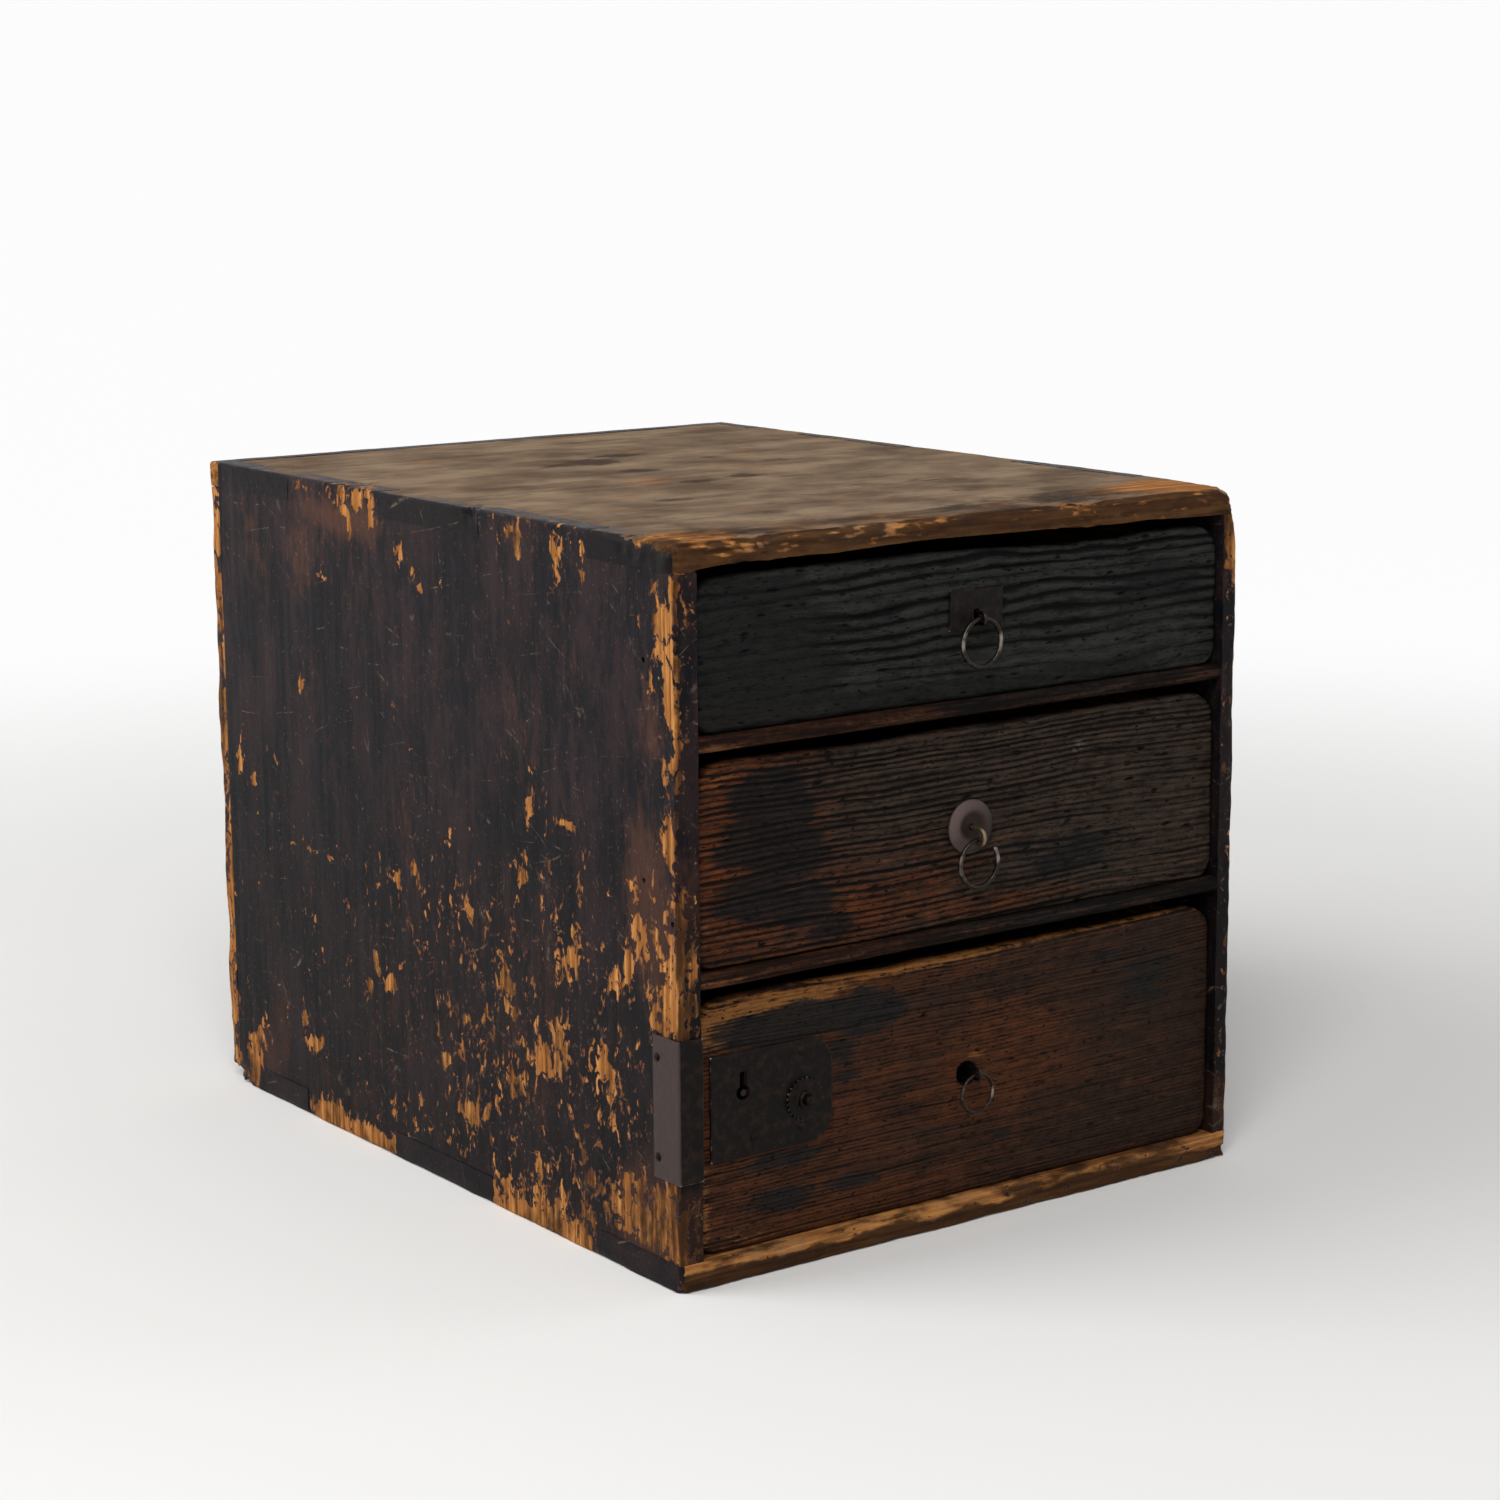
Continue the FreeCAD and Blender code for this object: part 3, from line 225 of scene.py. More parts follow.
def between(values, low, high):
    """1 from low to high and 0 outside, with soft ends, in mm."""
    return smooth(values, low - 1.5, low + 1.5) * (1 - smooth(values, high - 1.5, high + 1.5))


def profile(values, points):
    """A worn edge's depth in metres at each place, from (place, depth) points in mm."""
    place, depth = zip(*points)
    return np.interp(values / MM, place, depth) * MM


def blots(across, up, spots):
    """How strongly soft-edged spots cover each place. A spot is (across, up, half width, half height,
    strength), with its place and size in mm."""
    cover = np.zeros(len(across))
    for x, y, wide, high, strength in spots:
        reach = ((across / MM - x) / wide) ** 2 + ((up / MM - y) / high) ** 2
        cover = np.maximum(cover, strength * np.exp(-reach))
    return cover


def store(piece, **maps):
    """Keep numbers for each vertex under the names that a material reads."""
    count = len(piece.data.vertices)
    for name, values in maps.items():
        layer = piece.data.attributes.get(name) or piece.data.attributes.new(name, "FLOAT", "POINT")
        row = np.ascontiguousarray(np.broadcast_to(values, count), dtype=np.float32)
        layer.data.foreach_set("value", row)


def mesh_lines(low, high, cell, stops=()):
    """Places of mesh lines: about a cell apart, closer at both ends, and one on each stop."""
    close = [step * MM for step in (0.2, 0.6, 1.1, 1.7, 2.5, 3.5, 4.6)]
    ends = [low + step for step in close] + [high - step for step in close]
    marks = sorted({low, high, *stops, *(e for e in ends if low < e < high)})
    marks = [m for i, m in enumerate(marks) if i == 0 or m - marks[i - 1] > 0.05 * MM or m in stops]
    runs = [np.linspace(a, b, max(1, round((b - a) / cell)), endpoint=False)
            for a, b in zip(marks, marks[1:])]
    return np.append(np.concatenate(runs), high)


# Axes across and up each show face, the axis that it faces along, and which way.
FACES = {
    "left": (1, 2, 0, -1), "right": (1, 2, 0, 1), "top": (0, 1, 2, 1),
    "bottom": (0, 1, 2, -1), "front": (0, 2, 1, -1), "back": (0, 2, 1, 1),
}


def dense_board(name, low, high, face, cells, stops=((), ()), notches=(), rows=8):
    """A board with a fine mesh on its show face and round its edges, and one plain face behind."""
    u, v, n, sign = FACES[face]
    across = mesh_lines(low[u], high[u], cells[0], stops[0])
    up = mesh_lines(low[v], high[v], cells[1], stops[1])
    wide, tall = len(across) - 1, len(up) - 1
    show, rear = (high[n], low[n]) if sign > 0 else (low[n], high[n])
    piece = start("grid", x_subdivisions=wide, y_subdivisions=tall, size=1)
    piece.name = piece.data.name = name
    flat = places(piece)
    laid = np.empty_like(flat)
    laid[:, u] = across[np.rint((flat[:, 0] + 0.5) * wide).astype(int)]
    laid[:, v] = up[np.rint((flat[:, 1] + 0.5) * tall).astype(int)]
    laid[:, n] = show
    move(piece, laid)
    if notches:
        middle = read(piece.data.polygons, "center", 3)
        gone = np.zeros(len(middle), bool)
        for a, b, c, d in notches:
            gone |= (middle[:, u] > a) & (middle[:, u] < b) & (middle[:, v] > c) & (middle[:, v] < d)
        choose(piece, "polygons", gone)
        bpy.ops.mesh.delete(type="FACE")
        bpy.ops.object.mode_set(mode="OBJECT")
    choose(piece, "polygons", np.ones(len(piece.data.polygons), bool))
    shift = [0, 0, 0]
    shift[n] = rear - show
    bpy.ops.mesh.extrude_region_move(TRANSFORM_OT_translate={"value": shift})
    bpy.ops.mesh.dissolve_faces()
    bpy.ops.object.mode_set(mode="OBJECT")
    depth = places(piece)[edge_ends(piece), n]
    choose(piece, "edges", abs(depth[:, 0] - depth[:, 1]) > abs(rear - show) / 2)
    bpy.ops.mesh.subdivide(number_cuts=rows - 1)
    bpy.ops.mesh.select_all(action="SELECT")
    bpy.ops.mesh.normals_make_consistent(inside=False)
    bpy.ops.object.mode_set(mode="OBJECT")
    # The rows of mesh down the edges crowd towards the show face.
    body = places(piece)
    share = (body[:, n] - show) / (rear - show)
    body[:, n] = show + (0.55 * share ** 2 + 0.45 * share) * (rear - show)
    move(piece, body)
    return piece


def rounded(rows, low, high, radius):
    """Places drawn in so that a box's edges and corners are round, with a radius for each place."""
    r = radius[:, None]
    core = np.clip(rows, np.array(low) + r, np.array(high) - r)
    out = rows - core
    reach = np.linalg.norm(out, axis=1, keepdims=True)
    return core + out * np.where(reach > r, r / np.maximum(reach, 1e-9), 1)


def finish_piece(piece, node, body, material, angle=50):
    """Smooth a piece, dress it and let it stand for its CAD node."""
    look(piece)
    bpy.ops.object.shade_smooth_by_angle(angle=math.radians(angle))
    piece.data.materials.clear()
    piece.data.materials.append(material)
    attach(piece, body)
    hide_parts(node)


def tool_block(low, high):
    """A block that is used up in shaping a piece."""
    low, high = Vector(low), Vector(high)
    return start("cube", high - low, size=1, location=(low + high) / 2)


def tool_rod(centre, radius, deep, turn=(math.pi / 2, 0, 0)):
    """A rod along Y, or turned, that is used up in shaping a piece."""
    return start("cylinder", vertices=40, radius=radius, depth=deep, location=centre, rotation=turn)


def use_tool(piece, tool, operation="DIFFERENCE"):
    """Cut a tool out of a piece, or join it on."""
    apply_modifier(piece, "BOOLEAN", object=tool, operation=operation, solver="EXACT")
    bpy.data.objects.remove(tool)


# ---------------------------------------------------------------- materials


def new_material(name):
    """An empty material and its node tree."""
    material = bpy.data.materials.new(name)
    material.use_nodes = True
    material.node_tree.nodes.clear()
    return material, material.node_tree


def add(tree, kind, feeds=None, **settings):
    """Add a node, set its options, and feed its sockets with values or with other nodes."""
    made = tree.nodes.new("ShaderNode" + kind)
    for name, setting in settings.items():
        setattr(made, name, setting)
    for name, source in (feeds or {}).items():
        socket = made.inputs[name]
        if isinstance(source, bpy.types.Node):
            source = source.outputs[0]
        if isinstance(source, bpy.types.NodeSocket):
            tree.links.new(source, socket)
        elif socket.type == "RGBA":
            socket.default_value = (*source[:3], 1)
        else:
            socket.default_value = source
    return made


def pattern(tree, sizes, lean=0.0, **feeds):
    """Noise on Object coordinates whose lumps have the given sizes in mm along x, y and z, leaned about X."""
    place = add(tree, "TexCoord").outputs["Object"]
    if lean:
        place = add(tree, "VectorRotate", {"Vector": place, "Angle": lean}, rotation_type="X_AXIS")
    scaled = add(tree, "Mapping", {"Vector": place, "Scale": [1 / (s * MM) for s in sizes]})
    return add(tree, "TexNoise", {"Vector": scaled, "Scale": 1, **feeds})


def along(axis, length_mm, width_mm):
    """Sizes of a lump that is long along one axis and narrow across it."""
    return [length_mm if i == axis else width_mm for i in range(3)]


def sum_of(tree, *shares):
    """A sum of (value, share) pairs, where a name stands for the number kept on the vertices."""
    total = 0.0
    for value, share in shares:
        if isinstance(value, str):
            value = add(tree, "Attribute", attribute_name=value).outputs["Fac"]
        total = add(tree, "Math", {0: value, 1: share, 2: total}, operation="MULTIPLY_ADD")
    return total


def spread(tree, low, high, *shares, reach=1.0):
    """0 where a sum of shares is at low and reach where it is at high, with a soft edge between."""
    feeds = {"Value": sum_of(tree, *shares), "From Min": low, "From Max": high, "To Max": reach}
    return add(tree, "MapRange", feeds, interpolation_type="SMOOTHSTEP")


def layered(tree, colour, *layers):
    """Colours laid over one another, from (colour, how much it covers) pairs."""
    for over, share in layers:
        colour = add(tree, "MixRGB", {"Fac": share, "Color1": colour, "Color2": over})
    return colour


def wood_tone(tree, axis, ring_mm, colours, stripes=0.62, cloud_mm=(12, 7)):
    """Bare wood's colour, from dark rings to pale fibres, and its fibre pattern."""
    rings = pattern(tree, along(axis, ring_mm * 24, ring_mm), Detail=3, Roughness=0.55, Distortion=0.35)
    fibres = pattern(tree, along(axis, 12, 0.5), Detail=4, Roughness=0.65)
    cloudy = pattern(tree, along(axis, *cloud_mm), Detail=8, Roughness=0.56)
    tone = sum_of(tree, (rings, stripes), (fibres, 0.2), (cloudy, 0.8 - stripes))
    ramp = add(tree, "ValToRGB", {"Fac": tone})
    stops = ramp.color_ramp.elements
    stops[0].position, stops[1].position = 0.4, 0.6
    stops.new(0.5)
    for stop, colour in zip(stops, colours):
        stop.color = (*colour, 1)
    return ramp, fibres


def shader(tree, colour, roughness, height, depth_mm, specular, metallic=0.0):
    """The closing shader, with its relief."""
    bump = add(tree, "Bump", {"Height": height, "Distance": depth_mm * MM, "Strength": 1})
    surface = add(tree, "BsdfPrincipled", {"Base Color": colour, "Roughness": roughness, "Normal": bump,
                                           "Metallic": metallic, "Specular IOR Level": specular})
    add(tree, "OutputMaterial", {"Surface": surface})


def scratches(tree, mottle):
    """Long hairline scratches, each a thin level line of a drawn-out noise, and dull flecks."""
    marks = spread(tree, 0.64, 0.72, (pattern(tree, (2, 1.2, 1.8), Detail=2), 1), reach=0.45)
    # Three ways that the scratches run: sizes in mm, lean about X and strength.
    ways = (((60, 110, 13), 0.16, 0.55), ((60, 90, 15), -0.45, 0.4), ((60, 14, 90), 0.3, 0.3))
    for sizes, lean, strength in ways:
        off = add(tree, "Math", {0: pattern(tree, sizes, lean, Detail=0), 1: -0.5})
        off = add(tree, "Math", {0: off}, operation="ABSOLUTE")
        line = spread(tree, 0.009, 0.003, (off, 1), reach=strength)
        here = spread(tree, 0.54, 0.66, (pattern(tree, (40, 14, 9), lean + 0.4, Detail=3), 1))
        line = add(tree, "Math", {0: line, 1: here}, operation="MULTIPLY")
        marks = add(tree, "Math", {0: marks, 1: line}, operation="MAXIMUM")
    patchy = spread(tree, 0.42, 0.58, (mottle, 1))
    return add(tree, "Math", {0: marks, 1: patchy}, operation="MULTIPLY")


def worn_lacquer(name, axis, finish, specular=0.06):
    """Old lacquer over cedar: satin black and brown where it holds, a red-brown rim round each chip,
    and dry orange or grey fibre where it is gone."""
    material, tree = new_material(name)
    cedar, fibres = wood_tone(tree, axis, 2.6, (finish.cedar_dark, finish.cedar, finish.cedar_pale))
    grey = wood_tone(tree, axis, 5.5, (finish.grey_dark, finish.grey, finish.grey_pale), 0.2, (34, 24))[0]
    clouds = pattern(tree, along(axis, 46, 20), Detail=6, Roughness=0.62)
    mottle = pattern(tree, along(axis, 9, 4), Detail=6, Roughness=0.7)
    chips = pattern(tree, along(axis, 7, 5), Detail=4, Roughness=0.54, Distortion=0.9)
    flakes = pattern(tree, along(axis, 2.6, 1.5), Detail=2, Roughness=0.6)
    warm = spread(tree, 0.85, 1.4, ("warm", 1), (clouds, 0.5), (mottle, 0.6))
    dirt = spread(tree, 1.0, 1.5, ("grime", 1), (mottle, 0.8), (clouds, 0.8), reach=0.86)
    spill = spread(tree, 0.85, 1.25, ("stain", 1), (mottle, 1.3), reach=0.85)
    wood = layered(tree, grey, (cedar, warm), (finish.grime, dirt), (finish.stain, spill))
    tone = spread(tree, 0.42, 0.60, (clouds, 0.55), (mottle, 0.45))
    brown = spread(tree, 0.85, 1.3, ("brown", 1), (mottle, 0.9), (fibres, 0.3), reach=0.85)
    # The lacquer is darkened towards near-black by a number kept on the vertices; on the side boards this is
    # painted shade, heavier towards the bottom.
    dim = sum_of(tree, ("dim", 1))
    lacquer = layered(tree, finish.black, (finish.purple, tone), (finish.under, brown),
                      (linear("#0b0808"), dim), (finish.scuff, scratches(tree, mottle)))
    # The coat holds where its strength is more than the chip pattern.
    holds = sum_of(tree, ("coat", 1), (chips, -0.76), (flakes, -0.24))
    left_on = spread(tree, -0.006, 0.010, (holds, 1))
    thick = spread(tree, 0.004, 0.055, (holds, 1))
    colour = layered(tree, wood, (layered(tree, finish.under, (lacquer, thick)), left_on))
    satin = add(tree, "MapRange", {"Value": mottle, "From Min": 0.3, "From Max": 0.7,
                                   "To Min": 0.34, "To Max": 0.56})
    roughness = add(tree, "MapRange", {"Value": left_on, "To Min": 0.78, "To Max": satin})
    relief = sum_of(tree, (left_on, 0.75), (fibres, 0.4), (mottle, 0.5))
    shader(tree, colour, roughness, relief, 0.26, specular)
    return material


def along_rings(tree, long_mm, rings):
    """Streaks that follow the growth rings, about so long and so many rings wide."""
    place = add(tree, "SeparateXYZ", {"Vector": add(tree, "TexCoord").outputs["Object"]})
    far = sum_of(tree, (place.outputs["X"], 1 / (long_mm * MM)))
    spot = add(tree, "CombineXYZ", {"X": far, "Z": sum_of(tree, ("phase", 1 / rings))})
    return add(tree, "TexNoise", {"Vector": spot, "Scale": 1, "Detail": 5, "Roughness": 0.6})


def eroded_cedar(name, finish, tones, line, share, sunk):
    """Softwood scoured by long use: the hard rings stand up and are rubbed paler, and the soft wood
    between them is sunk, dark and dull. On the drawer fronts, whose rings stand up in the mesh, the paler
    rings are also a painted highlight and the dark grooves also painted shade. Line is a grain line's width
    in rings; share weighs the standing rings against the grain lines; sunk gives where the wood turns from
    sunk to rubbed."""
    material, tree = new_material(name)
    groove, ridge, warm_low, warm_high, tan = (linear(tone) for tone in tones)
    bands = along_rings(tree, 55, line)
    fibres = along_rings(tree, 11, line / 4)
    patches = pattern(tree, (24, 24, 8), Detail=6, Roughness=0.64)
    mottle = pattern(tree, (6, 6, 2.4), Detail=6, Roughness=0.72)
    pits = spread(tree, 0.62, 0.70, (pattern(tree, (3.4, 3.4, 0.9), Detail=2), 1), reach=0.5)
    # Lift is 1 on the standing rings and 0 in the grooves; on the drawer fronts the colours it lays are
    # partly painted light, a painted highlight on the rings and painted shade in the grooves.
    lift = spread(tree, *sunk, ("ridge", share[0]), (bands, share[1]), (fibres, 0.45),
                  (mottle, 0.5), (pits, -1))
    warmth = spread(tree, 0.7, 1.2, ("bare", 1), (patches, 0.8), (lift, 0.3))
    tanned = spread(tree, 0.75, 1.2, ("tan", 1), (mottle, 0.7), (lift, 0.35))
    sooty = spread(tree, 1.95, 2.2, ("soot", 1), (patches, 1.4), (mottle, 1.1), (bands, 0.7),
                   (lift, -0.3), reach=0.92)
    dusty = spread(tree, 1.1, 1.5, ("dust", 1), (mottle, 1.2), (lift, 0.2), reach=0.6)
    warm = layered(tree, warm_low, (warm_high, lift))
    tan = layered(tree, warm_high, (tan, lift))
    # Inside the sooty patches the standing rings carry a painted highlight.
    soot = layered(tree, finish.soot, (linear("#1d1d1c"), lift))
    colour = layered(tree, groove, (ridge, lift), (warm, warmth), (tan, tanned), (soot, sooty),
                     (finish.dust, dusty))
    relief = sum_of(tree, (bands, 0.8), (fibres, 0.7), (mottle, 0.8), (pits, -0.8))
    roughness = add(tree, "MapRange", {"Value": lift, "To Min": 0.75, "To Max": 0.42})
    shader(tree, colour, roughness, relief, 0.45, 0.06)
    return material


def plain_wood(name, axis, colours):
    """Unfinished cedar, planed once and brown with age: dry, matt, with fine straight grain."""
    material, tree = new_material(name)
    wood, fibres = wood_tone(tree, axis, 2.6, colours)
    shader(tree, wood, 0.75, fibres, 0.15, 0.2)
    return material


def old_metal(name, finish, colour, rust, roughness, metallic, rubbed=None):
    """Hand-worked metal: mottled and brown in its pits, and bright where hands and wood have rubbed it.
    On the rings part of that bright colour is a painted highlight, and a paler colour is painted light
    on the strap's side flange and the washer's rim.
    """
    material, tree = new_material(name)
    mottle = pattern(tree, (4.5, 4.5, 4.5), Detail=8, Roughness=0.65)
    grain = pattern(tree, (0.7, 0.7, 0.7), Detail=3)
    pitted = spread(tree, 0.46, 0.66, (mottle, 1), reach=rust)
    # Where the pale number is kept, a paler iron colour is laid on as painted light: the strap's side flange
    # and the washer's rim.
    mixed = layered(tree, colour, (finish.rust, pitted), (finish.painted_light_iron, sum_of(tree, ("pale", 1))))
    if rubbed:
        mixed = layered(tree, mixed, (rubbed, spread(tree, 0.85, 1.35, ("rub", 1), (mottle, 1))))
    shine = add(tree, "MapRange", {"Value": mottle, "From Min": 0.35, "From Max": 0.65,
                                   "To Min": roughness - 0.1, "To Max": roughness + 0.12})
    shader(tree, mixed, shine, sum_of(tree, (grain, 0.4), (mottle, 1)), 0.3, 0.15, metallic)
    return material


# ---------------------------------------------------------------- carcass

# Bites out of the edges: where, how far each reaches, how deep it goes and which way, in mm.
BITES = (
    ((-148, -187, 300), 13, 3.4, (0.45, 0.5, -0.75)), ((-148, -160, 300), 14, 1.6, (0.7, 0, -0.7)),
    ((-148, -38, 300), 5.5, 3.2, (0.7, 0, -0.7)), ((148, -187, 300), 14, 2.0, (-0.5, 0.6, -0.6)),
    ((-148, 187, 0), 13, 3.0, (0.35, -0.7, 0.6)), ((-110, -187, 300), 20, 1.6, (0, 0.6, -0.7)),
    ((60, -187, 300), 26, 1.4, (0, 0.6, -0.7)), ((-148, -187, 0), 9, 1.4, (0.6, 0.6, 0.5)),
    ((148, -187, 0), 10, 2.2, (-0.6, 0.6, 0.4)), ((-148, 70, 300), 16, 0.9, (0.7, 0, -0.7)),
)


def bitten(rows):
    """Ragged bites where the carcass's edges have been knocked."""
    ragged = 0.6 + 1.5 * rough(rows, (5, 5, 5), 3, 3)
    for place, reach, depth, way in BITES:
        away = np.linalg.norm(rows - np.array(place) * MM, axis=1) / (reach * MM)
        sunk = depth * MM * np.exp(-1.6 * away ** 2) * np.clip(ragged, 0.1, 1.6)
        rows = rows + sunk[:, None] * np.array(way)
    return rows


def edge_wear(rows, wear):
    """Rounding at each place of the carcass, the same on every board that meets there."""
    x, y, z = rows.T
    radius = wear.edge_round * (1 + 0.6 * rough(rows, (16, 16, 16), 1, 2))
    front = below(y - FRONT_EDGE, 60)
    right = below(RIGHT_EDGE - x, 40)
    left = below(x - LEFT_EDGE, 30)
    top = below(TOP_LEVEL - z, 30)
    radius += front * top * (2.2 + 3.6 * right + 2.6 * left) * MM
    return np.clip(radius, 0.4 * MM, 8 * MM)


def wear_board(piece, face, wear, seed, grain):
    """Round a carcass board's edges, dip its face a little and open its seams."""
    n, sign = FACES[face][2:]
    rows = places(piece)
    chest_low = np.array((LEFT_EDGE, FRONT_EDGE, 0))
    chest_high = np.array((RIGHT_EDGE, REAR_EDGE, TOP_LEVEL))
    keep_low, keep_high = rows.min(0), rows.max(0)
    for axis in range(3):
        if keep_low[axis] - chest_low[axis] < 0.1 * MM:
            keep_low[axis] -= 10 * MM
        if chest_high[axis] - keep_high[axis] < 0.1 * MM:
            keep_high[axis] += 10 * MM
    radius = wear.inner_round * (1 + 0.5 * rough(rows, (9, 9, 9), seed, 2))
    rows = rounded(rows, keep_low, keep_high, np.clip(radius, 0.3 * MM, 2 * MM))
    dips = 0.5 + 0.5 * rough(rows, (55, 55, 55), seed + 3, 3)
    dips += 0.35 * rough(rows, along(grain, 90, 4), seed + 4, 2)
    depth = (chest_high[n] - rows[:, n]) if sign > 0 else (rows[:, n] - chest_low[n])
    rows[:, n] -= sign * np.clip(wear.unevenness * dips, 0, None) * below(depth, 6)
    rows = rounded(rows, chest_low, chest_high, edge_wear(rows, wear))
    rows = bitten(rows)
    ragged = 0.6 * MM * np.clip(rough(rows, (7, 7, 7), seed + 5, 3) + 0.1, 0, 1)
    at_front = below(rows[:, 1] - FRONT_EDGE, 4)
    rows[:, 1] += at_front * (ragged + 0.5 * MM * (1 + rough(rows, (38, 38, 38), seed + 7, 2)))
    move(piece, rows)
    return rows


def finger_notches(top_and_bottom):
    """The cells between the fingers, of a side board or of the top and bottom boards."""
    e = FINGER_ENDS
    if top_and_bottom:
        spans = [(e[0], e[1]), (e[2], e[3]), (e[4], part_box("top_board")[1].y)]
        ends = [(LEFT_EDGE, LEFT_INNER), (RIGHT_INNER, RIGHT_EDGE)]
        return [(*end, *span) for span in spans for end in ends]
    spans = [(FRONT_EDGE, e[0]), (e[1], e[2]), (e[3], e[4])]
    ends = [(BAY_TOP, TOP_LEVEL), (0, BAY_FOOT)]
    return [(*span, *end) for span in spans for end in ends]


# Of the left side's lacquer: chips, places where it holds and places where it has worn brown, each as
# (along, up, half width, half height, strength), in mm.
SIDE_CHIPS = (
    (57, 294, 5, 7, 0.34), (70, 293, 3.5, 8, 0.3), (43, 290, 4, 8, 0.32), (64, 284, 3, 9, 0.26),
    (19, 275, 6, 5, 0.34), (10, 268, 3, 3, 0.3), (88, 257, 6, 2, 0.34), (113, 265, 3, 2.5, 0.26),
    (3, 261, 3, 3.5, 0.3), (-14, 265, 2.5, 3, 0.28), (113, 205, 4, 4, 0.34), (175, 160, 4, 8, 0.34),
    (163, 152, 4, 5, 0.3), (-81, 181, 3.5, 10, 0.32), (-83, 197, 6, 1.6, 0.24), (-110, 178, 10, 1.5, 0.28),
    (-104, 283, 4, 11, 0.34), (-123, 285, 2.6, 11, 0.28), (-75, 290, 3, 9, 0.22), (-176, 268, 5, 18, 0.36),
    (-170, 240, 3, 16, 0.26), (-163, 270, 3, 14, 0.22), (-181, 252, 4, 22, 0.26), (-178, 215, 3, 10, 0.2),
    (-180, 187, 5, 12, 0.26), (-157, 160, 5, 7, 0.26), (-160, 142, 7, 9, 0.28), (-171, 146, 4, 7, 0.22),
    (-152, 128, 6, 9, 0.26), (-171, 112, 8, 12, 0.24), (-178, 118, 6, 22, 0.2), (90, 128, 5, 1.6, 0.34),
    (118, 129, 22, 1.1, 0.2), (60, 131, 26, 0.9, 0.16), (112, 36, 12, 5, 0.32), (120, 44, 4, 9, 0.26),
    (171, 13, 9, 15, 0.36), (163, 30, 10, 10, 0.18), (-89, 74, 6, 8, 0.28), (-28, 37, 9, 6, 0.32),
    (-100, 84, 6, 10, 0.28), (-131, 84, 5, 10, 0.28), (-143, 118, 8, 9, 0.24), (-110, 122, 5, 7, 0.24),
    (-129, 27, 13, 8, 0.26), (-160, 22, 16, 14, 0.34), (-176, 30, 10, 22, 0.3), (-30, 129, 3, 5, 0.24),
    (30, 129, 3, 4, 0.3), (14, 136, 3, 5, 0.3), (-17, 160, 3, 8, 0.26), (-73, 152, 5, 10, 0.24),
    (39, 80, 5, 5, 0.3), (57, 76, 4, 5, 0.28), (51, 88, 2.5, 6, 0.26), (-8, 56, 3, 4, 0.3),
    (-138, 78, 4, 10, 0.22), (-60, 100, 6, 9, 0.22), (-70, 60, 8, 8, 0.2), (26, 9, 3, 6, 0.26),
    (96, 6, 14, 9, 0.3), (62, 5, 16, 5, 0.22), (-60, 5, 14, 10, 0.3), (-90, 8, 18, 12, 0.32),
    (-113, 9, 15, 13, 0.34), (-46, 12, 3, 11, 0.26),
)
SIDE_DARKS = (
    (-150, 205, 24, 34, 0.05), (20, 230, 60, 40, 0.03), (-174, 75, 12, 32, 0.1), (-160, 5, 24, 9, 0.34),
    (-5, 5, 34, 8, 0.22), (141, 5, 19, 7, 0.3), (-140, 250, 26, 30, 0.05), (-5, 294, 38, 7, 0.2),
    (141, 294, 20, 7, 0.2), (-160, 294, 28, 7, 0.1), (-171, 48, 10, 7, 0.1),
)
SIDE_BROWNS = (
    (-168, 152, 17, 42, 0.75), (-160, 40, 26, 24, 0.5), (-60, 130, 60, 70, 0.22), (110, 262, 40, 30, 0.35),
    (80, 18, 36, 16, 0.45), (-172, 225, 10, 22, 0.4), (150, 30, 26, 30, 0.45), (-90, 12, 40, 16, 0.3),
    (70, 285, 50, 10, 0.5), (-80, 290, 34, 8, 0.35), (30, 70, 30, 50, 0.2),
)
# Old nail holes in the left side: (along, up), in mm, and their radius.
NAIL_HOLES = ((-165.3, 252.8), (-163.7, 164.9), (-183.2, 150.9))
NAIL_HOLE_RADIUS = 1.15 * MM
# The bolt's mortise: how far it goes into the left side, and its room round the bolt.
MORTISE_DEPTH, MORTISE_PLAY = 6.5 * MM, 0.5 * MM
# How far the top board's underside is worn up along its front: (across, up), in mm.
WORN_UNDERSIDE = (
    (-148, 0), (-137, 0.4), (-131, 1.2), (-123, 2.1), (-98, 2.0), (-69, 1.5), (-43, 2.6), (-17, 2.8),
    (3, 2.5), (24, 2.1), (55, 2.0), (76, 1.0), (98, 1.4), (114, 0.6), (148, 0),
)


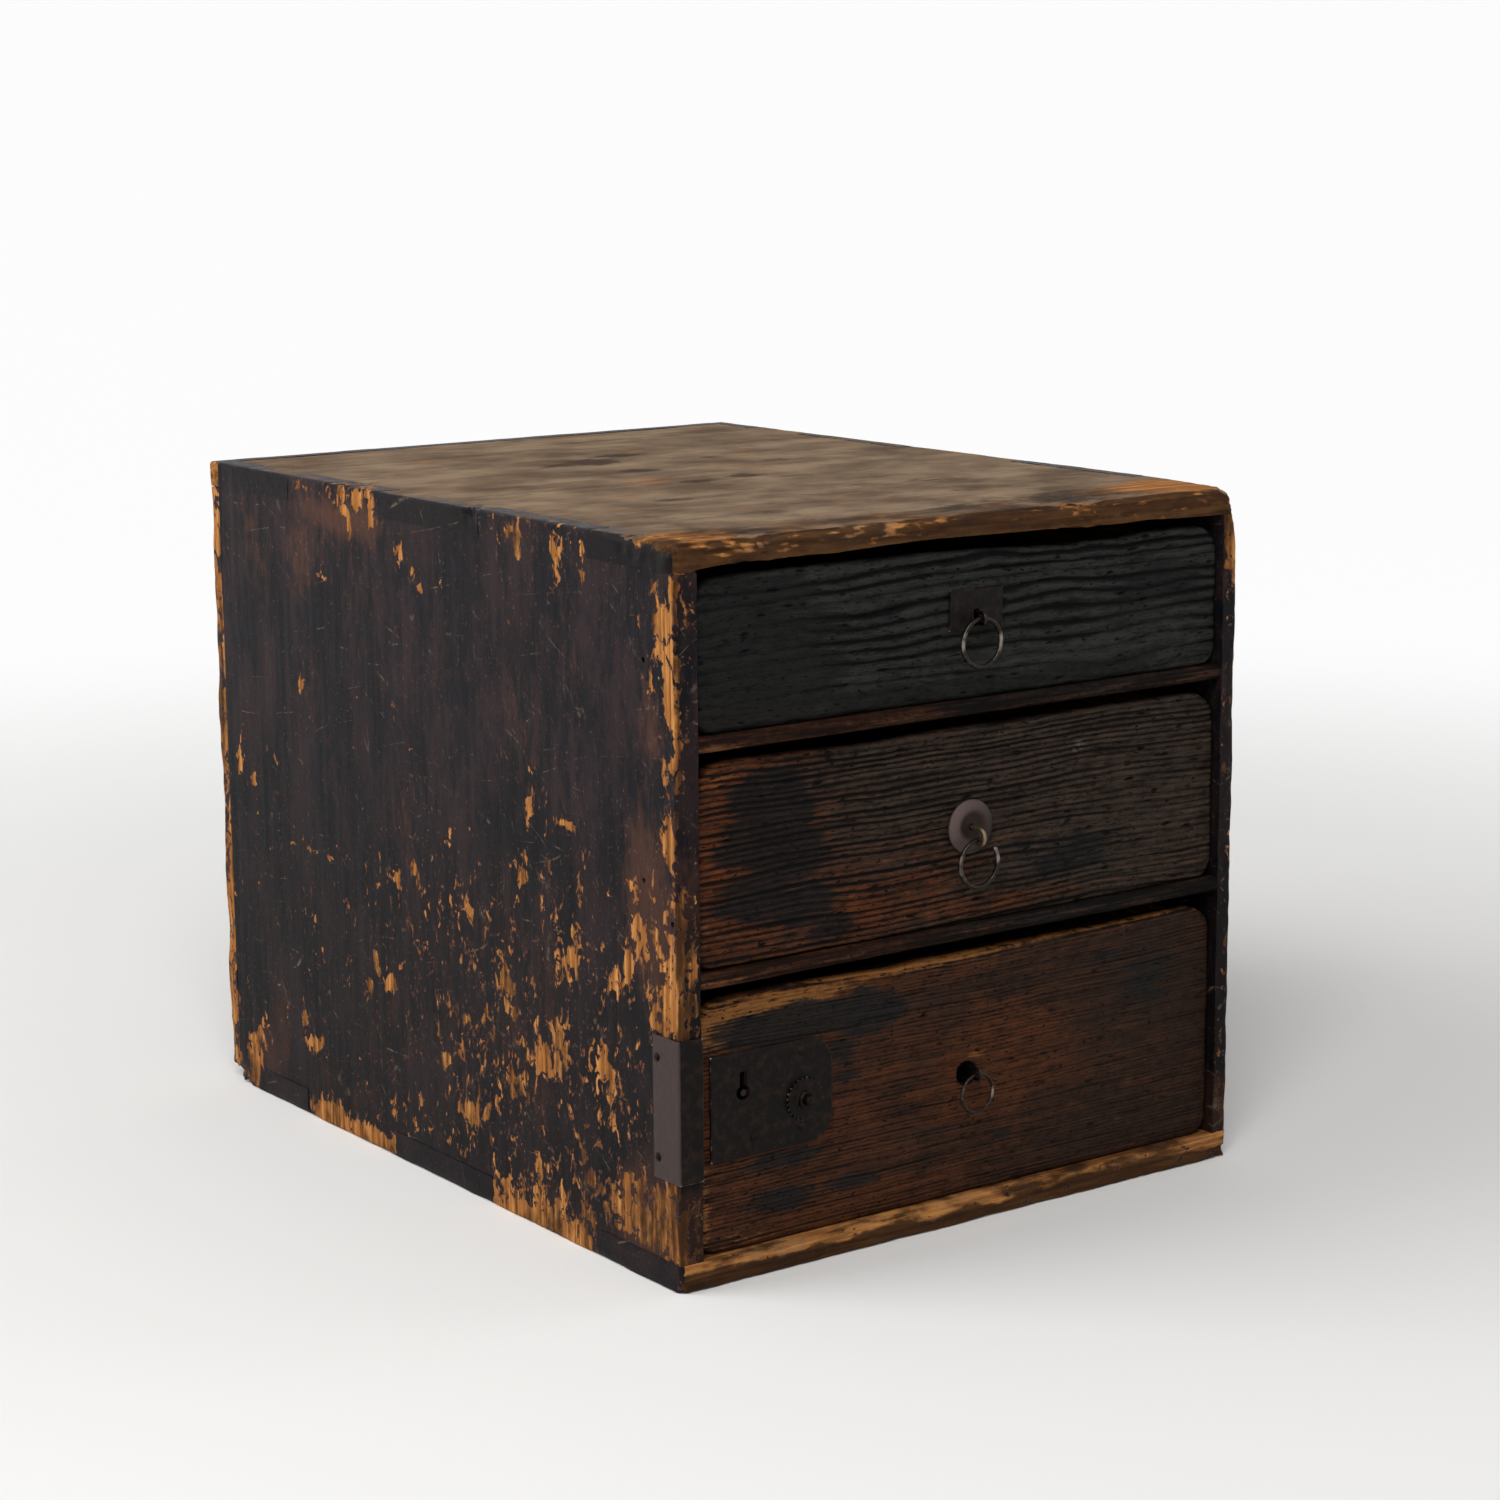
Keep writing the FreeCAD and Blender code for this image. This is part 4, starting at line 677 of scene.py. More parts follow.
class CHEST_OT_side_boards(bpy.types.Operator):
    """Model the two side boards, with their fingers and chipped lacquer"""
    bl_idname = "chest.side_boards"
    bl_label = "Side boards"

    def execute(self, context):
        wear, finish = context.scene.chest_wear, context.scene.chest_finish
        material = worn_lacquer("chipped_black_lacquer_on_cedar", 2, finish)
        for side, cell, seed in (("left", wear.cell, 11), ("right", wear.cell * 1.3, 23)):
            node = f"side_board_{side}"
            low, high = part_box(node)
            piece = dense_board(node + "_worn", low, high, side, (cell, cell),
                                (FINGER_ENDS, (BAY_FOOT, BAY_TOP)), finger_notches(False))
            wear_board(piece, side, wear, seed, 2)
            if side == "left":
                self.cut_holes(piece)
            self.wear_maps(piece, places(piece), side)
            finish_piece(piece, node, "carcass", material)
        return {"FINISHED"}

    def cut_holes(self, piece):
        """Bore the old nail holes and cut the mortise that the bolt goes into."""
        for y, z in NAIL_HOLES:
            centre = (LEFT_EDGE, y * MM, z * MM)
            use_tool(piece, tool_rod(centre, NAIL_HOLE_RADIUS, 9 * MM, (0, math.pi / 2, 0)))
        play = Vector((0, MORTISE_PLAY, MORTISE_PLAY))
        low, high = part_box("lock_bolt")
        low.x, high.x = LEFT_INNER - MORTISE_DEPTH, LEFT_INNER + 1 * MM
        use_tool(piece, tool_block(low - play, high + play))

    def wear_maps(self, piece, rows, side):
        """How well the lacquer holds, and how brown and grimy it is, at each place."""
        x, y, z = rows.T
        into = (x - LEFT_EDGE) if side == "left" else (RIGHT_EDGE - x)
        coat = 0.70 + 0.04 * rough(rows, (60, 60, 60), 31, 3) - 0.03 * below(z, 240, 130)
        coat -= 0.075 * below(z, 200, 70) * below(y, 130, -40)
        coat -= 0.06 * below(y, -150, -187) * np.clip(0.45 + rough(rows, (14, 14, 34), 33, 2), 0, 1)
        frayed = np.clip(0.6 + rough(rows, (9, 9, 26), 34, 3), 0, 1.2)
        coat -= (0.12 + 0.22 * between(z, 206, 291)) * below(y, -176, -184) * frayed
        # Bare bands along the feet and the upper ends of this board's fingers.
        second, fourth = between(y, -127, -45), between(y, 37, 119)
        coat -= 0.1 * below(z, 22, 6) * second + 0.2 * below(z, 12, 4) * fourth
        coat -= 0.07 * below(z, 8, 2) * second + 0.08 * smooth(z, 278, 297) * second
        coat -= 0.13 * smooth(z, 280, 297) * fourth
        coat -= 0.11 * below(z, 52, 30) * between(z, 12, 60) * below(y, -128, -150)
        brown = 0.1 + 0.3 * rough(rows, (24, 24, 60), 35, 3)
        if side == "left":
            low_corner = below(z, 52, 36) * below(y, -30, -50)
            coat += blots(y, z, SIDE_DARKS) - (0.8 - 0.62 * low_corner) * blots(y, z, SIDE_CHIPS)
            coat += blots(y, z, [(*hole, 3, 3, 0.3) for hole in NAIL_HOLES])
            brown += blots(y, z, SIDE_BROWNS)
        brown += 0.6 * below(z, 48, 34) * below(y, -132, -150)
        # Darker lacquer all over, with painted shade that darkens the side more towards the bottom, and more
        # again on the front face.
        dim = 0.05 + 0.5 * below(z, 250, 60) + 0.2 * rough(rows, (40, 40, 40), 32, 2)
        front_face = below(y, -184.4, -186.4)
        streaks = rough(rows, (2.6, 2.6, 38), 37, 3)
        own = 0.64 + 0.1 * streaks
        if side == "left":
            rubbed = smooth(z, 180, 215) + between(z, 104, 160) + 1.3 * below(z, 46, 26)
            own = own - 0.17 * below(into, 5, 0.5) * rubbed - 0.09 * between(z, 104, 165)
            own = own - 0.06 * below(z, 46, 40)
        else:
            own = own - 0.17 * smooth(z, 238, 276) - 0.05 * below(z, 60, 20)
        coat = coat * (1 - front_face) + own * front_face
        inner = (LEFT_INNER - LEFT_EDGE) if side == "left" else (RIGHT_EDGE - RIGHT_INNER)
        coat = np.where(into > inner - 1.2 * MM, np.maximum(coat, 0.7), coat)
        grime = 0.2 + 0.3 * rough(rows, (12, 12, 24), 39, 3) + front_face * (0.32 + 0.4 * streaks)
        # The bare wood is darker near the front feet, and darker towards the bottom all over.
        grime += 0.25 * below(z, 60, 10) * below(y, -40, -150) + 0.12 * below(z, 150, 60)
        store(piece, coat=coat, brown=brown + 0.1 * front_face, grime=grime, warm=1.2, stain=0.0,
              dim=np.clip(dim + 0.3 * front_face, 0, 0.75))


class CHEST_OT_top_board(bpy.types.Operator):
    """Model the top board, rubbed, stained and splintered at its front"""
    bl_idname = "chest.top_board"
    bl_label = "Top board"

    def execute(self, context):
        wear, finish = context.scene.chest_wear, context.scene.chest_finish
        low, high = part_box("top_board")
        piece = dense_board("top_board_worn", low, high, "top", (wear.cell, wear.cell),
                            ((LEFT_INNER, RIGHT_INNER), FINGER_ENDS), finger_notches(True))
        rows = wear_board(piece, "top", wear, 41, 0)
        x, y, z = rows.T
        front = below(y - FRONT_EDGE, 6, 1)
        low_down = below(z - BAY_TOP, 7)
        chewed = np.clip(0.35 + rough(rows, (13, 9, 5), 42, 3), 0, 1.3) * (0.7 + 0.5 * below(x, -60, -140))
        rows[:, 1] += front * 1.5 * MM * chewed
        rows[:, 2] += profile(x, WORN_UNDERSIDE) * low_down * below(y, -174, -184)
        move(piece, rows)
        coat = 0.28 + 0.09 * rough(rows, (50, 40, 40), 43, 3)
        coat += 0.42 * below(x - LEFT_EDGE, 2.2, 0.6) + 0.4 * below(RIGHT_EDGE - x, 1.2, 0.3)
        coat += (0.22 + 0.1 * rough(rows, (20, 30, 20), 44, 3)) * below(x - LEFT_EDGE, 22, 3)
        coat -= blots(x, y, ((140, -178, 18, 16, 0.3), (-139, -182, 8, 8, 0.3)))
        warm = 0.2 + 0.3 * rough(rows, (34, 26, 26), 45, 4) + 0.3 * below(y, -130, -184) + 0.35 * front
        warm += blots(x, y, ((-134, -172, 22, 16, 0.7), (128, -165, 34, 26, 0.5)))
        grime = 0.02 + 0.34 * rough(rows, (34, 24, 24), 49, 4) + 0.22 * below(y, 40, -187)
        grime += 0.04 * smooth(x, 0, 120) * below(y, 60, -150)
        grime += front * (0.4 * smooth(TOP_LEVEL - z, 4, 10) + 0.36)
        grime += front * (0.9 * rough(rows, (9, 9, 1.8), 50, 4) + 0.15 * smooth(x, -100, 0))
        grime += 0.1 * below(y, -110, -180)
        grime -= 0.25 * smooth(x, 60, 130) * below(y, -100, -160) * (1 - front)
        grime += blots(x, y, ((-147, -180, 9, 14, 0.7), (-146, -187, 7, 6, 0.8), (30, -168, 90, 12, 0.25)))
        stain = blots(x, y, ((-12, 76, 15, 13, 1.0), (-14, 33, 12, 7, 0.8), (11, -14, 11, 8, 0.8),
                             (-68, -70, 14, 7, 0.5), (15, 93, 16, 9, 0.75), (-30, 74, 12, 8, 0.7),
                             (-16, -17, 13, 7, 0.65), (60, 30, 12, 9, 0.45), (45, 60, 8, 7, 0.5)))
        dim = 0.4 + 0.4 * below(x - LEFT_EDGE, 4, 1)
        store(piece, coat=coat, brown=0.0, grime=grime, warm=warm, stain=stain, dim=dim)
        finish_piece(piece, "top_board", "carcass",
                     worn_lacquer("weathered_cedar_top", 0, finish, 0.08))
        return {"FINISHED"}


class CHEST_OT_bottom_board(bpy.types.Operator):
    """Model the bottom board, with its rubbed front edge"""
    bl_idname = "chest.bottom_board"
    bl_label = "Bottom board"

    def execute(self, context):
        wear, finish = context.scene.chest_wear, context.scene.chest_finish
        low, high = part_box("bottom_board")
        piece = dense_board("bottom_board_worn", low, high, "top", (wear.cell * 1.2, wear.cell * 2),
                            ((LEFT_INNER, RIGHT_INNER), FINGER_ENDS), finger_notches(True))
        rows = wear_board(piece, "bottom", wear, 51, 0)
        x, z = rows[:, 0], rows[:, 2]
        ends = np.maximum(below(x - LEFT_EDGE, 2.6, 0.6), below(RIGHT_EDGE - x, 1.2, 0.3))
        coat = 0.36 + 0.07 * rough(rows, (34, 30, 6), 53, 3) + 0.38 * ends
        ragged = 2.5 * MM * rough(rows * (1, 0, 0), (16, 900, 900), 57, 4)
        lower = below(z - ragged, 7.5, 4.5)
        grime = 0.42 + 0.5 * rough(rows, (18, 20, 3), 55, 4) + 0.6 * lower + 0.25 * smooth(x, 20, 110)
        grime -= blots(x, z, ((138, 10, 12, 7, 0.6),))
        store(piece, coat=coat, brown=0.1, grime=grime, warm=0.75, stain=0.0, dim=0.4)
        finish_piece(piece, "bottom_board", "carcass",
                     worn_lacquer("rubbed_cedar_foot", 0, finish))
        return {"FINISHED"}


class CHEST_OT_back(bpy.types.Operator):
    """Model the two back planks and the strip above them"""
    bl_idname = "chest.back"
    bl_label = "Back"

    def execute(self, context):
        wear, finish = context.scene.chest_wear, context.scene.chest_finish
        upright = worn_lacquer("worn_lacquer_on_back_planks", 2, finish)
        level = worn_lacquer("worn_lacquer_on_rear_strip", 0, finish)
        for seed, node in enumerate(("back_plank_left", "back_plank_right", "top_rear_strip")):
            strip = node.endswith("strip")
            low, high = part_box(node)
            piece = dense_board(node + "_worn", low, high, "back", (wear.cell * 1.5,) * 2, rows=6)
            rows = wear_board(piece, "back", wear, 61 + seed, 0 if strip else 2)
            outer = below(rows[:, 0] - LEFT_EDGE, 3)
            rows[:, 0] += outer * 1.2 * MM * np.clip(rough(rows, (30, 30, 30), 67, 3) + 0.35, 0, 2)
            move(piece, rows)
            coat = 0.66 + 0.05 * rough(rows, (50, 50, 50), 69, 3)
            frayed = np.clip(0.4 + rough(rows, (25, 25, 25), 71, 2), 0, 1)
            coat -= outer * (0.10 + 0.14 * frayed + 0.1 * strip) + 0.08 * below(rows[:, 2], 60, 8)
            brown = 0.35 + 0.35 * rough(rows, (30, 30, 80), 73, 3)
            grime = 0.35 + 0.3 * rough(rows, (20, 20, 60), 75, 2)
            store(piece, coat=coat, brown=brown, grime=grime, warm=1.0, stain=0.0, dim=0.2)
            finish_piece(piece, node, "carcass", level if strip else upright)
        return {"FINISHED"}


class CHEST_OT_rails(bpy.types.Operator):
    """Model the two rails between the drawers"""
    bl_idname = "chest.rails"
    bl_label = "Rails"

    def execute(self, context):
        wear, finish = context.scene.chest_wear, context.scene.chest_finish
        tones = ("#0a0706", "#2b241e", "#180d08", "#50301e", "#7a5231")
        material = eroded_cedar("handled_rail_wood", finish, tones, 0.5, (0.5, 0.5), (0.85, 1.4))
        for seed, node in enumerate(("rail_lower", "rail_upper")):
            low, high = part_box(node)
            high.z -= 0.1 * MM  # worn by the drawer that slides over it
            piece = dense_board(node + "_worn", low, high, "front", (wear.front_cell, 0.5 * MM), rows=12)
            rows = places(piece)
            radius = 2.6 * MM * (1 + 0.25 * rough(rows, (20, 20, 60), 81 + seed, 2))
            keep_low, keep_high = np.array(low), np.array(high)
            keep_low[0] -= 5 * MM
            keep_high[0] += 5 * MM
            keep_high[1] += 5 * MM
            rows = rounded(rows, keep_low, keep_high, np.clip(radius, 1 * MM, 3.1 * MM))
            front = below(rows[:, 1] - low.y, 4)
            rows[:, 1] += front * 0.6 * MM * (1 + rough(rows, (45, 900, 900), 83 + seed, 3))
            rows[:, 1] += front * 0.25 * MM * (1 + rough(rows, (30, 900, 1.6), 84 + seed, 2))
            move(piece, rows)
            x = rows[:, 0]
            ridge = 0.5 + 0.5 * rough(rows, (40, 2, 1.4), 87 + seed, 2)
            bare = 0.3 + 0.25 * rough(rows, (50, 900, 9), 89, 2) + 0.6 * below(x, 60, -137)
            foot = low.z / MM
            tan = blots(x, rows[:, 2], ((-128, foot + 1, 14, 3, 0.8), (-60, foot + 3, 40, 2, 0.4)))
            store(piece, ridge=ridge, phase=rows[:, 2] / (3 * MM), bare=bare, tan=tan, soot=0.0, dust=0.05)
            finish_piece(piece, node, "carcass", material)
        return {"FINISHED"}


# ---------------------------------------------------------------- drawer fronts

# Of each front: ring spacing, how much the rings wander, how sharp their grooves are, and seed.
GRAIN = {"top": (5.0, 1.5, 0.55, 101), "middle": (2.7, 2.0, 0.8, 121), "bottom": (1.7, 2.6, 0.9, 141)}
# How far each front's top edge is worn down along its length: (across, down), in mm.
WORN_TOPS = {
    "top": (
        (-136, 0.5), (-100, 0.1), (-22, 0.2), (-4, 0.6), (17, 1.2), (44, 2.7), (56, 3.5), (65, 2.7),
        (85, 2.8), (96, 1.7), (112, 0.9), (122, 1.1), (139, 0.6),
    ),
    "middle": (
        (-136, 0.6), (-115, 0), (-80, 0.4), (-66, 1.0), (-45, 1.5), (-30, 0.8), (0, 0.3), (70, 0.5),
        (139, 0.1),
    ),
    "bottom": (
        (-136, 1.4), (-118, 0.7), (-100, 0.2), (-80, 0.6), (-60, 1.3), (-40, 2.0), (-26, 1.3), (-3, 1.7),
        (30, 1.5), (80, 1.8), (110, 1.2), (139, 0.8),
    ),
}
# Warm, tan, sooty and dusty places of each front: (across, up, half width, half height, strength).
WARM = {
    "top": ((-110, 231, 40, 8, 0.35), (40, 229, 90, 6, 0.2)),
    "middle": (
        (-118, 172, 52, 60, 0.62), (-60, 145, 60, 22, 0.5), (-20, 160, 34, 16, 0.3), (10, 136, 70, 7, 0.35),
    ),
    "bottom": (
        (-100, 60, 90, 70, 0.36), (10, 64, 50, 30, 0.42), (-60, 110, 90, 10, 0.4), (-70, 20, 80, 14, 0.4),
    ),
}
TANNED = {
    "top": ((-126, 281, 8, 3, 0.3),),
    "middle": (
        (-128, 205, 14, 5, 0.5), (-120, 176, 8, 4, 0.35), (-105, 165, 10, 3, 0.3),
        (-70, 150, 30, 2.5, 0.25), (-132, 150, 3, 24, 0.4),
    ),
    "bottom": (
        (-129, 106, 10, 9, 1.0), (-96, 112, 34, 4, 0.95), (-30, 116, 60, 2.6, 0.85),
        (60, 117, 80, 2.2, 0.7), (7, 72, 6, 1.6, 0.6), (-134, 30, 3, 24, 0.5), (-118, 16, 24, 3, 0.3),
        (-76, 96, 3, 2, 0.5),
    ),
}
SOOTY = {
    "top": ((-110, 248, 52, 54, 1.2), (0, 228, 150, 9, 1.0), (105, 262, 40, 26, 0.8)),
    "middle": (
        (-98, 192, 29, 18, 1.15), (-94, 172, 31, 16, 1.05), (-106, 157, 28, 14, 1.1),
        (-84, 150, 26, 14, 1.0), (-71, 138, 18, 9, 0.8), (-118, 180, 14, 18, 0.8), (60, 150, 50, 16, 0.75),
        (105, 175, 34, 34, 0.6),
    ),
    "bottom": (
        (-93, 101, 42, 9, 1.5), (-52, 100, 26, 12, 1.3), (-40, 92, 30, 8, 0.6), (104, 88, 40, 20, 0.8),
        (-60, 30, 28, 7, 0.85), (-97, 29, 28, 10, 1.0), (50, 44, 28, 5, 0.65), (19, 34, 16, 5, 0.6),
        (80, 102, 60, 6, 0.6), (-64, 80, 16, 24, 0.8), (-92, 45, 40, 6, 0.9), (-20, 42, 34, 5, 0.7),
    ),
}
DUSTY = {
    "top": (),
    "middle": ((61, 197, 9, 5, 0.6),),
    "bottom": (),
}
# Faces that stand well proud or lie smooth, in the same way.
SMOOTHED = {
    "top": ((-108, 250, 46, 60, 0.88), (0, 229, 160, 13, 0.85), (112, 245, 36, 34, 0.5)),
    "middle": ((100, 160, 50, 40, 0.55),),
    "bottom": ((60, 60, 90, 40, 0.5),),
}
# Of each front: its finish's name, its tones (groove, ridge, warm groove, warm ridge and tan), a grain
# line's width in rings, the shares of standing rings and grain lines, and where sunk turns to rubbed.
FRONT_WOOD = {
    "top": ("sooty_scoured_cedar", ("#070707", "#30312e", "#0d0806", "#33231a", "#4d3c2d"),
            0.8, (0.75, 0.35), (1.08, 1.6)),
    "middle": ("brown_scoured_cedar", ("#0b0806", "#473a30", "#180d08", "#6c3b1f", "#7f5229"),
               0.5, (0.5, 0.55), (0.98, 1.5)),
    "bottom": ("red_brown_cedar", ("#110a07", "#302118", "#1b0e08", "#55301a", "#84592e"),
               0.55, (0.3, 0.7), (0.78, 1.26)),
}
# Level and radius of each front's hole for its pull, in mm.
PULL_HOLES = {"top": (257, 4.5), "middle": (170, 4.5), "bottom": (64.3, 5.2)}
# The keyhole: its round part's radius, and its slot's half width and rise.
KEY_RADIUS, KEY_SLOT_HALF, KEY_SLOT_RISE = 3.1 * MM, 1.5 * MM, 8.5 * MM


def ring_wave(rows, drawer):
    """Growth rings of a flat-sawn front: their count at each place, and 1 on a hard ring down to 0 in
    a groove."""
    ring_mm, wander, sharp, seed = GRAIN[drawer]
    slow = rough(rows, (150, 900, 46), seed, 2)
    quick = rough(rows, (42, 900, 16), seed + 1, 2)
    phase = rows[:, 2] / (ring_mm * MM) + wander * 0.6 * slow + 0.32 * quick
    wave = abs(np.sin(math.pi * phase)) ** sharp
    strength = 0.85 + 0.6 * rough(rows, (34, 900, ring_mm * 1.4), seed + 2, 2)
    strength *= np.random.default_rng(seed).uniform(0.35, 1.25, 500)[np.rint(phase).astype(int) % 500]
    strength *= 1 - blots(rows[:, 0], rows[:, 2], SMOOTHED[drawer])
    return phase, 1 - np.clip(strength, 0.12, 1.15) * (1 - wave)


def outline_distance(rows, low, high, radius):
    """Distance inside a rounded rectangle, and the way out of it, for each place."""
    half = np.array((high[0] - low[0], high[2] - low[2])) / 2
    centre = np.array((high[0] + low[0], high[2] + low[2])) / 2
    spot = rows[:, [0, 2]] - centre
    side = np.where(spot < 0, -1.0, 1.0)
    over = abs(spot) - (half - radius[:, None])
    corner = (over > 0).all(1)
    reach = np.linalg.norm(np.maximum(over, 0), axis=1)
    inside = np.where(corner, radius - reach, radius - over.max(1))
    straight = np.where((over[:, 0] > over[:, 1])[:, None], (1.0, 0.0), (0.0, 1.0))
    way = np.where(corner[:, None], over / np.maximum(reach, 1e-9)[:, None], straight) * side
    return inside, way


def shape_front(piece, low, high, wear, drawer):
    """Round a front's outline and edges, wear its top wavy and stand its rings proud."""
    rows = places(piece)
    seed = GRAIN[drawer][3]
    upper = rows[:, 2] > (low.z + high.z) / 2
    radius = np.where(upper, wear.corner_top, wear.corner_bottom)
    into = np.where(upper, rows[:, 2] - (high.z - radius), (low.z + radius) - rows[:, 2])
    cut_in = radius - np.sqrt(np.maximum(radius ** 2 - np.clip(into, 0, radius) ** 2, 0))
    half, middle = (high.x - low.x) / 2, (low.x + high.x) / 2
    rows[:, 0] = middle + (rows[:, 0] - middle) * (half - cut_in) / half
    inside, way = outline_distance(rows, low, high, radius)
    depth = rows[:, 1] - low.y
    r = np.clip(wear.front_round * (1 + 0.4 * rough(rows, (22, 22, 22), seed + 9, 2)), 1.2 * MM, 4.5 * MM)
    a, b = np.maximum(r - inside, 0), np.maximum(r - depth, 0)
    reach = np.hypot(a, b)
    scale = np.where(reach > r, r / np.maximum(reach, 1e-9), 1)
    rows[:, 0] -= way[:, 0] * a * (1 - scale)
    rows[:, 2] -= way[:, 1] * a * (1 - scale)
    rows[:, 1] += b * (1 - scale)
    phase, rings = ring_wave(rows, drawer)
    face = below(depth, 3.5, 0.2)
    pits = np.clip(rough(rows, (7, 900, 2.2), seed + 11, 2) - 0.52, 0, 1) * 2.4 * MM
    rows[:, 1] += face * (getattr(wear, "ridge_" + drawer) * (1 - rings) + pits)
    rows[:, 1] += face * 0.5 * MM * np.clip(0.5 + 0.5 * rough(rows, (70, 900, 40), seed + 4, 2), 0, 1)
    wave = profile(rows[:, 0], WORN_TOPS[drawer])
    wave += 0.25 * MM * (1 + rough(rows * (1, 0, 0), (13, 900, 900), seed + 6, 2))
    rows[:, 2] -= wave * below(high.z - rows[:, 2], 16, 1)
    move(piece, rows)
    return rows, phase, rings - pits / (1.2 * MM)


class CHEST_OT_drawer_fronts(bpy.types.Operator):
    """Model the three drawer fronts with their standing growth rings and worn edges"""
    bl_idname = "chest.drawer_fronts"
    bl_label = "Drawer fronts"

    def execute(self, context):
        wear, finish = context.scene.chest_wear, context.scene.chest_finish
        cells = (wear.front_cell, wear.front_row)
        for drawer, (name, *wood) in FRONT_WOOD.items():
            node = f"drawer_{drawer}_front"
            low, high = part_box(node)
            lip_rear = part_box(f"drawer_{drawer}_side_left")[0].y
            lip_high = Vector((high.x, lip_rear, high.z))
            piece = dense_board(node + "_worn", low, lip_high, "front", cells, rows=6)
            rows, phase, rings = shape_front(piece, low, lip_high, wear, drawer)
            x, z = rows[:, 0], rows[:, 2]
            store(piece, phase=phase, ridge=rings, bare=0.12 + blots(x, z, WARM[drawer]),
                  tan=blots(x, z, TANNED[drawer]), soot=blots(x, z, SOOTY[drawer]),
                  dust=blots(x, z, DUSTY[drawer]))
            self.cut_holes(piece, drawer, low, high, lip_rear)
            material = eroded_cedar(name, finish, *wood)
            finish_piece(piece, node, f"drawer_{drawer}", material)
        return {"FINISHED"}

    def cut_holes(self, piece, drawer, low, high, lip_rear):
        """Add the block behind the lip, then cut the pull's hole and let in the lock."""
        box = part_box(f"drawer_{drawer}_back")
        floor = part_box(f"drawer_{drawer}_bottom")[1].z
        block = tool_block((box[0].x, lip_rear - 1 * MM, floor), (box[1].x, high.y, high.z - 3 * MM))
        use_tool(piece, block, "UNION")
        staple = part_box(f"ring_staple_{drawer}")
        centre = (staple[0].x + staple[1].x) / 2
        level, radius = PULL_HOLES[drawer]
        use_tool(piece, tool_rod((centre, low.y, level * MM), radius * MM, 60 * MM))
        if drawer == "bottom":
            case_low, case_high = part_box("lock_case")
            pin_low, pin_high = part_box("key_pin")
            key = (pin_low + pin_high) / 2
            use_tool(piece, tool_block(case_low, case_high + Vector((0, 1 * MM, 0))))
            use_tool(piece, tool_rod((key.x, low.y, key.z), KEY_RADIUS, 20 * MM))
            slot_low = (key.x - KEY_SLOT_HALF, low.y - 1 * MM, key.z)
            slot_high = (key.x + KEY_SLOT_HALF, lip_rear + 1 * MM, key.z + KEY_SLOT_RISE)
            use_tool(piece, tool_block(slot_low, slot_high))


# ---------------------------------------------------------------- ironwork


def reworked(node, voxel_mm, dent_mm, seed):
    """A plate hammered a little uneven, with its edges worn round, from its CAD shape."""
    piece = bpy.data.objects.new(node + "_worn", frame["nodes"][node].data.copy())
    bpy.context.scene.collection.objects.link(piece)
    choose(piece, "vertices", np.ones(len(piece.data.vertices), bool))
    bpy.ops.mesh.remove_doubles(threshold=0.001 * MM)
    bpy.ops.object.mode_set(mode="OBJECT")
    before = places(piece)
    low, high = before.min(0), before.max(0)
    apply_modifier(piece, "REMESH", mode="VOXEL", voxel_size=voxel_mm * MM)
    rows = places(piece)
    outward = np.array([v.normal[:] for v in piece.data.vertices])
    dent = dent_mm * MM * np.clip(0.6 + 0.6 * rough(rows, (9, 9, 9), seed, 3), 0, 1.4)
    rows = np.clip(rows - outward * dent[:, None], low, high)
    move(piece, rows)
    fall = ((rows - neighbours(piece, rows)) * outward).sum(1) / (voxel_mm * MM)
    rub = np.clip((fall - 0.08) * 5, 0, 1)[:, None]
    for step in range(2):
        rub = np.maximum(rub, 1.3 * neighbours(piece, rub))
    store(piece, rub=np.clip(rub[:, 0], 0, 1))
    return piece


class CHEST_OT_plates(bpy.types.Operator):
    """Model the strap, the lock plate and the pulls' plates with dents and rubbed edges"""
    bl_idname = "chest.plates"
    bl_label = "Iron plates"

    def execute(self, context):
        finish = context.scene.chest_finish
        sheet = old_metal("lacquered_sheet_iron", finish, finish.iron, 0.7, 0.5, 0.5, finish.rubbed)
        brown, worn = linear("#241b15"), linear("#857767")
        washer = old_metal("brown_hammered_washer", finish, brown, 0.8, 0.52, 0.4, worn)
        jobs = (
            ("corner_strap", 0.45, 0.10, "carcass", sheet),
            ("lock_plate", 0.4, 0.14, "drawer_bottom", sheet),
            ("lock_rosette", 0.22, 0.03, "drawer_bottom", sheet),
            ("ring_plate_top", 0.3, 0.10, "drawer_top", sheet),
            ("ring_washer_middle", 0.3, 0.06, "drawer_middle", washer),
        )
        for seed, (node, voxel, dent, body, material) in enumerate(jobs):
            piece = reworked(node, voxel, dent, 200 + seed)
            if node == "corner_strap":
                # Painted light: the strap's side flange, which faces the left, is coloured paler than its
                # front flange.
                store(piece, pale=0.52 * below(places(piece)[:, 0], -147.9, -148.6))
            if node == "ring_washer_middle":
                self.dish(piece)
            finish_piece(piece, node, body, material, 80)
        return {"FINISHED"}

    def dish(self, piece):
        """Thin the washer towards its middle, and paint a highlight on the left and upper part of its rim."""
        rows = places(piece)
        low, high = rows.min(0), rows.max(0)
        across, up = rows[:, 0] - (low[0] + high[0]) / 2, rows[:, 2] - (low[2] + high[2]) / 2
        rim = smooth(np.hypot(across, up), 4.5, 8)
        rows[:, 1] += (high[1] - rows[:, 1]) * 0.55 * (1 - rim)
        move(piece, rows)
        # Painted highlight: the rim is coloured paler on its left and upper part, and the dished middle is
        # left dark as painted shade.
        store(piece, pale=np.clip(0.55 - 0.045 * across / MM + 0.02 * up / MM, 0, 1) * rim)


# The broken ring, in degrees: where its gap's faces lie, its wire's two tips, and how long they taper.
GAP, TIPS, TAPER = (38.5, 77.5), (37.4, 78.6), 4.2


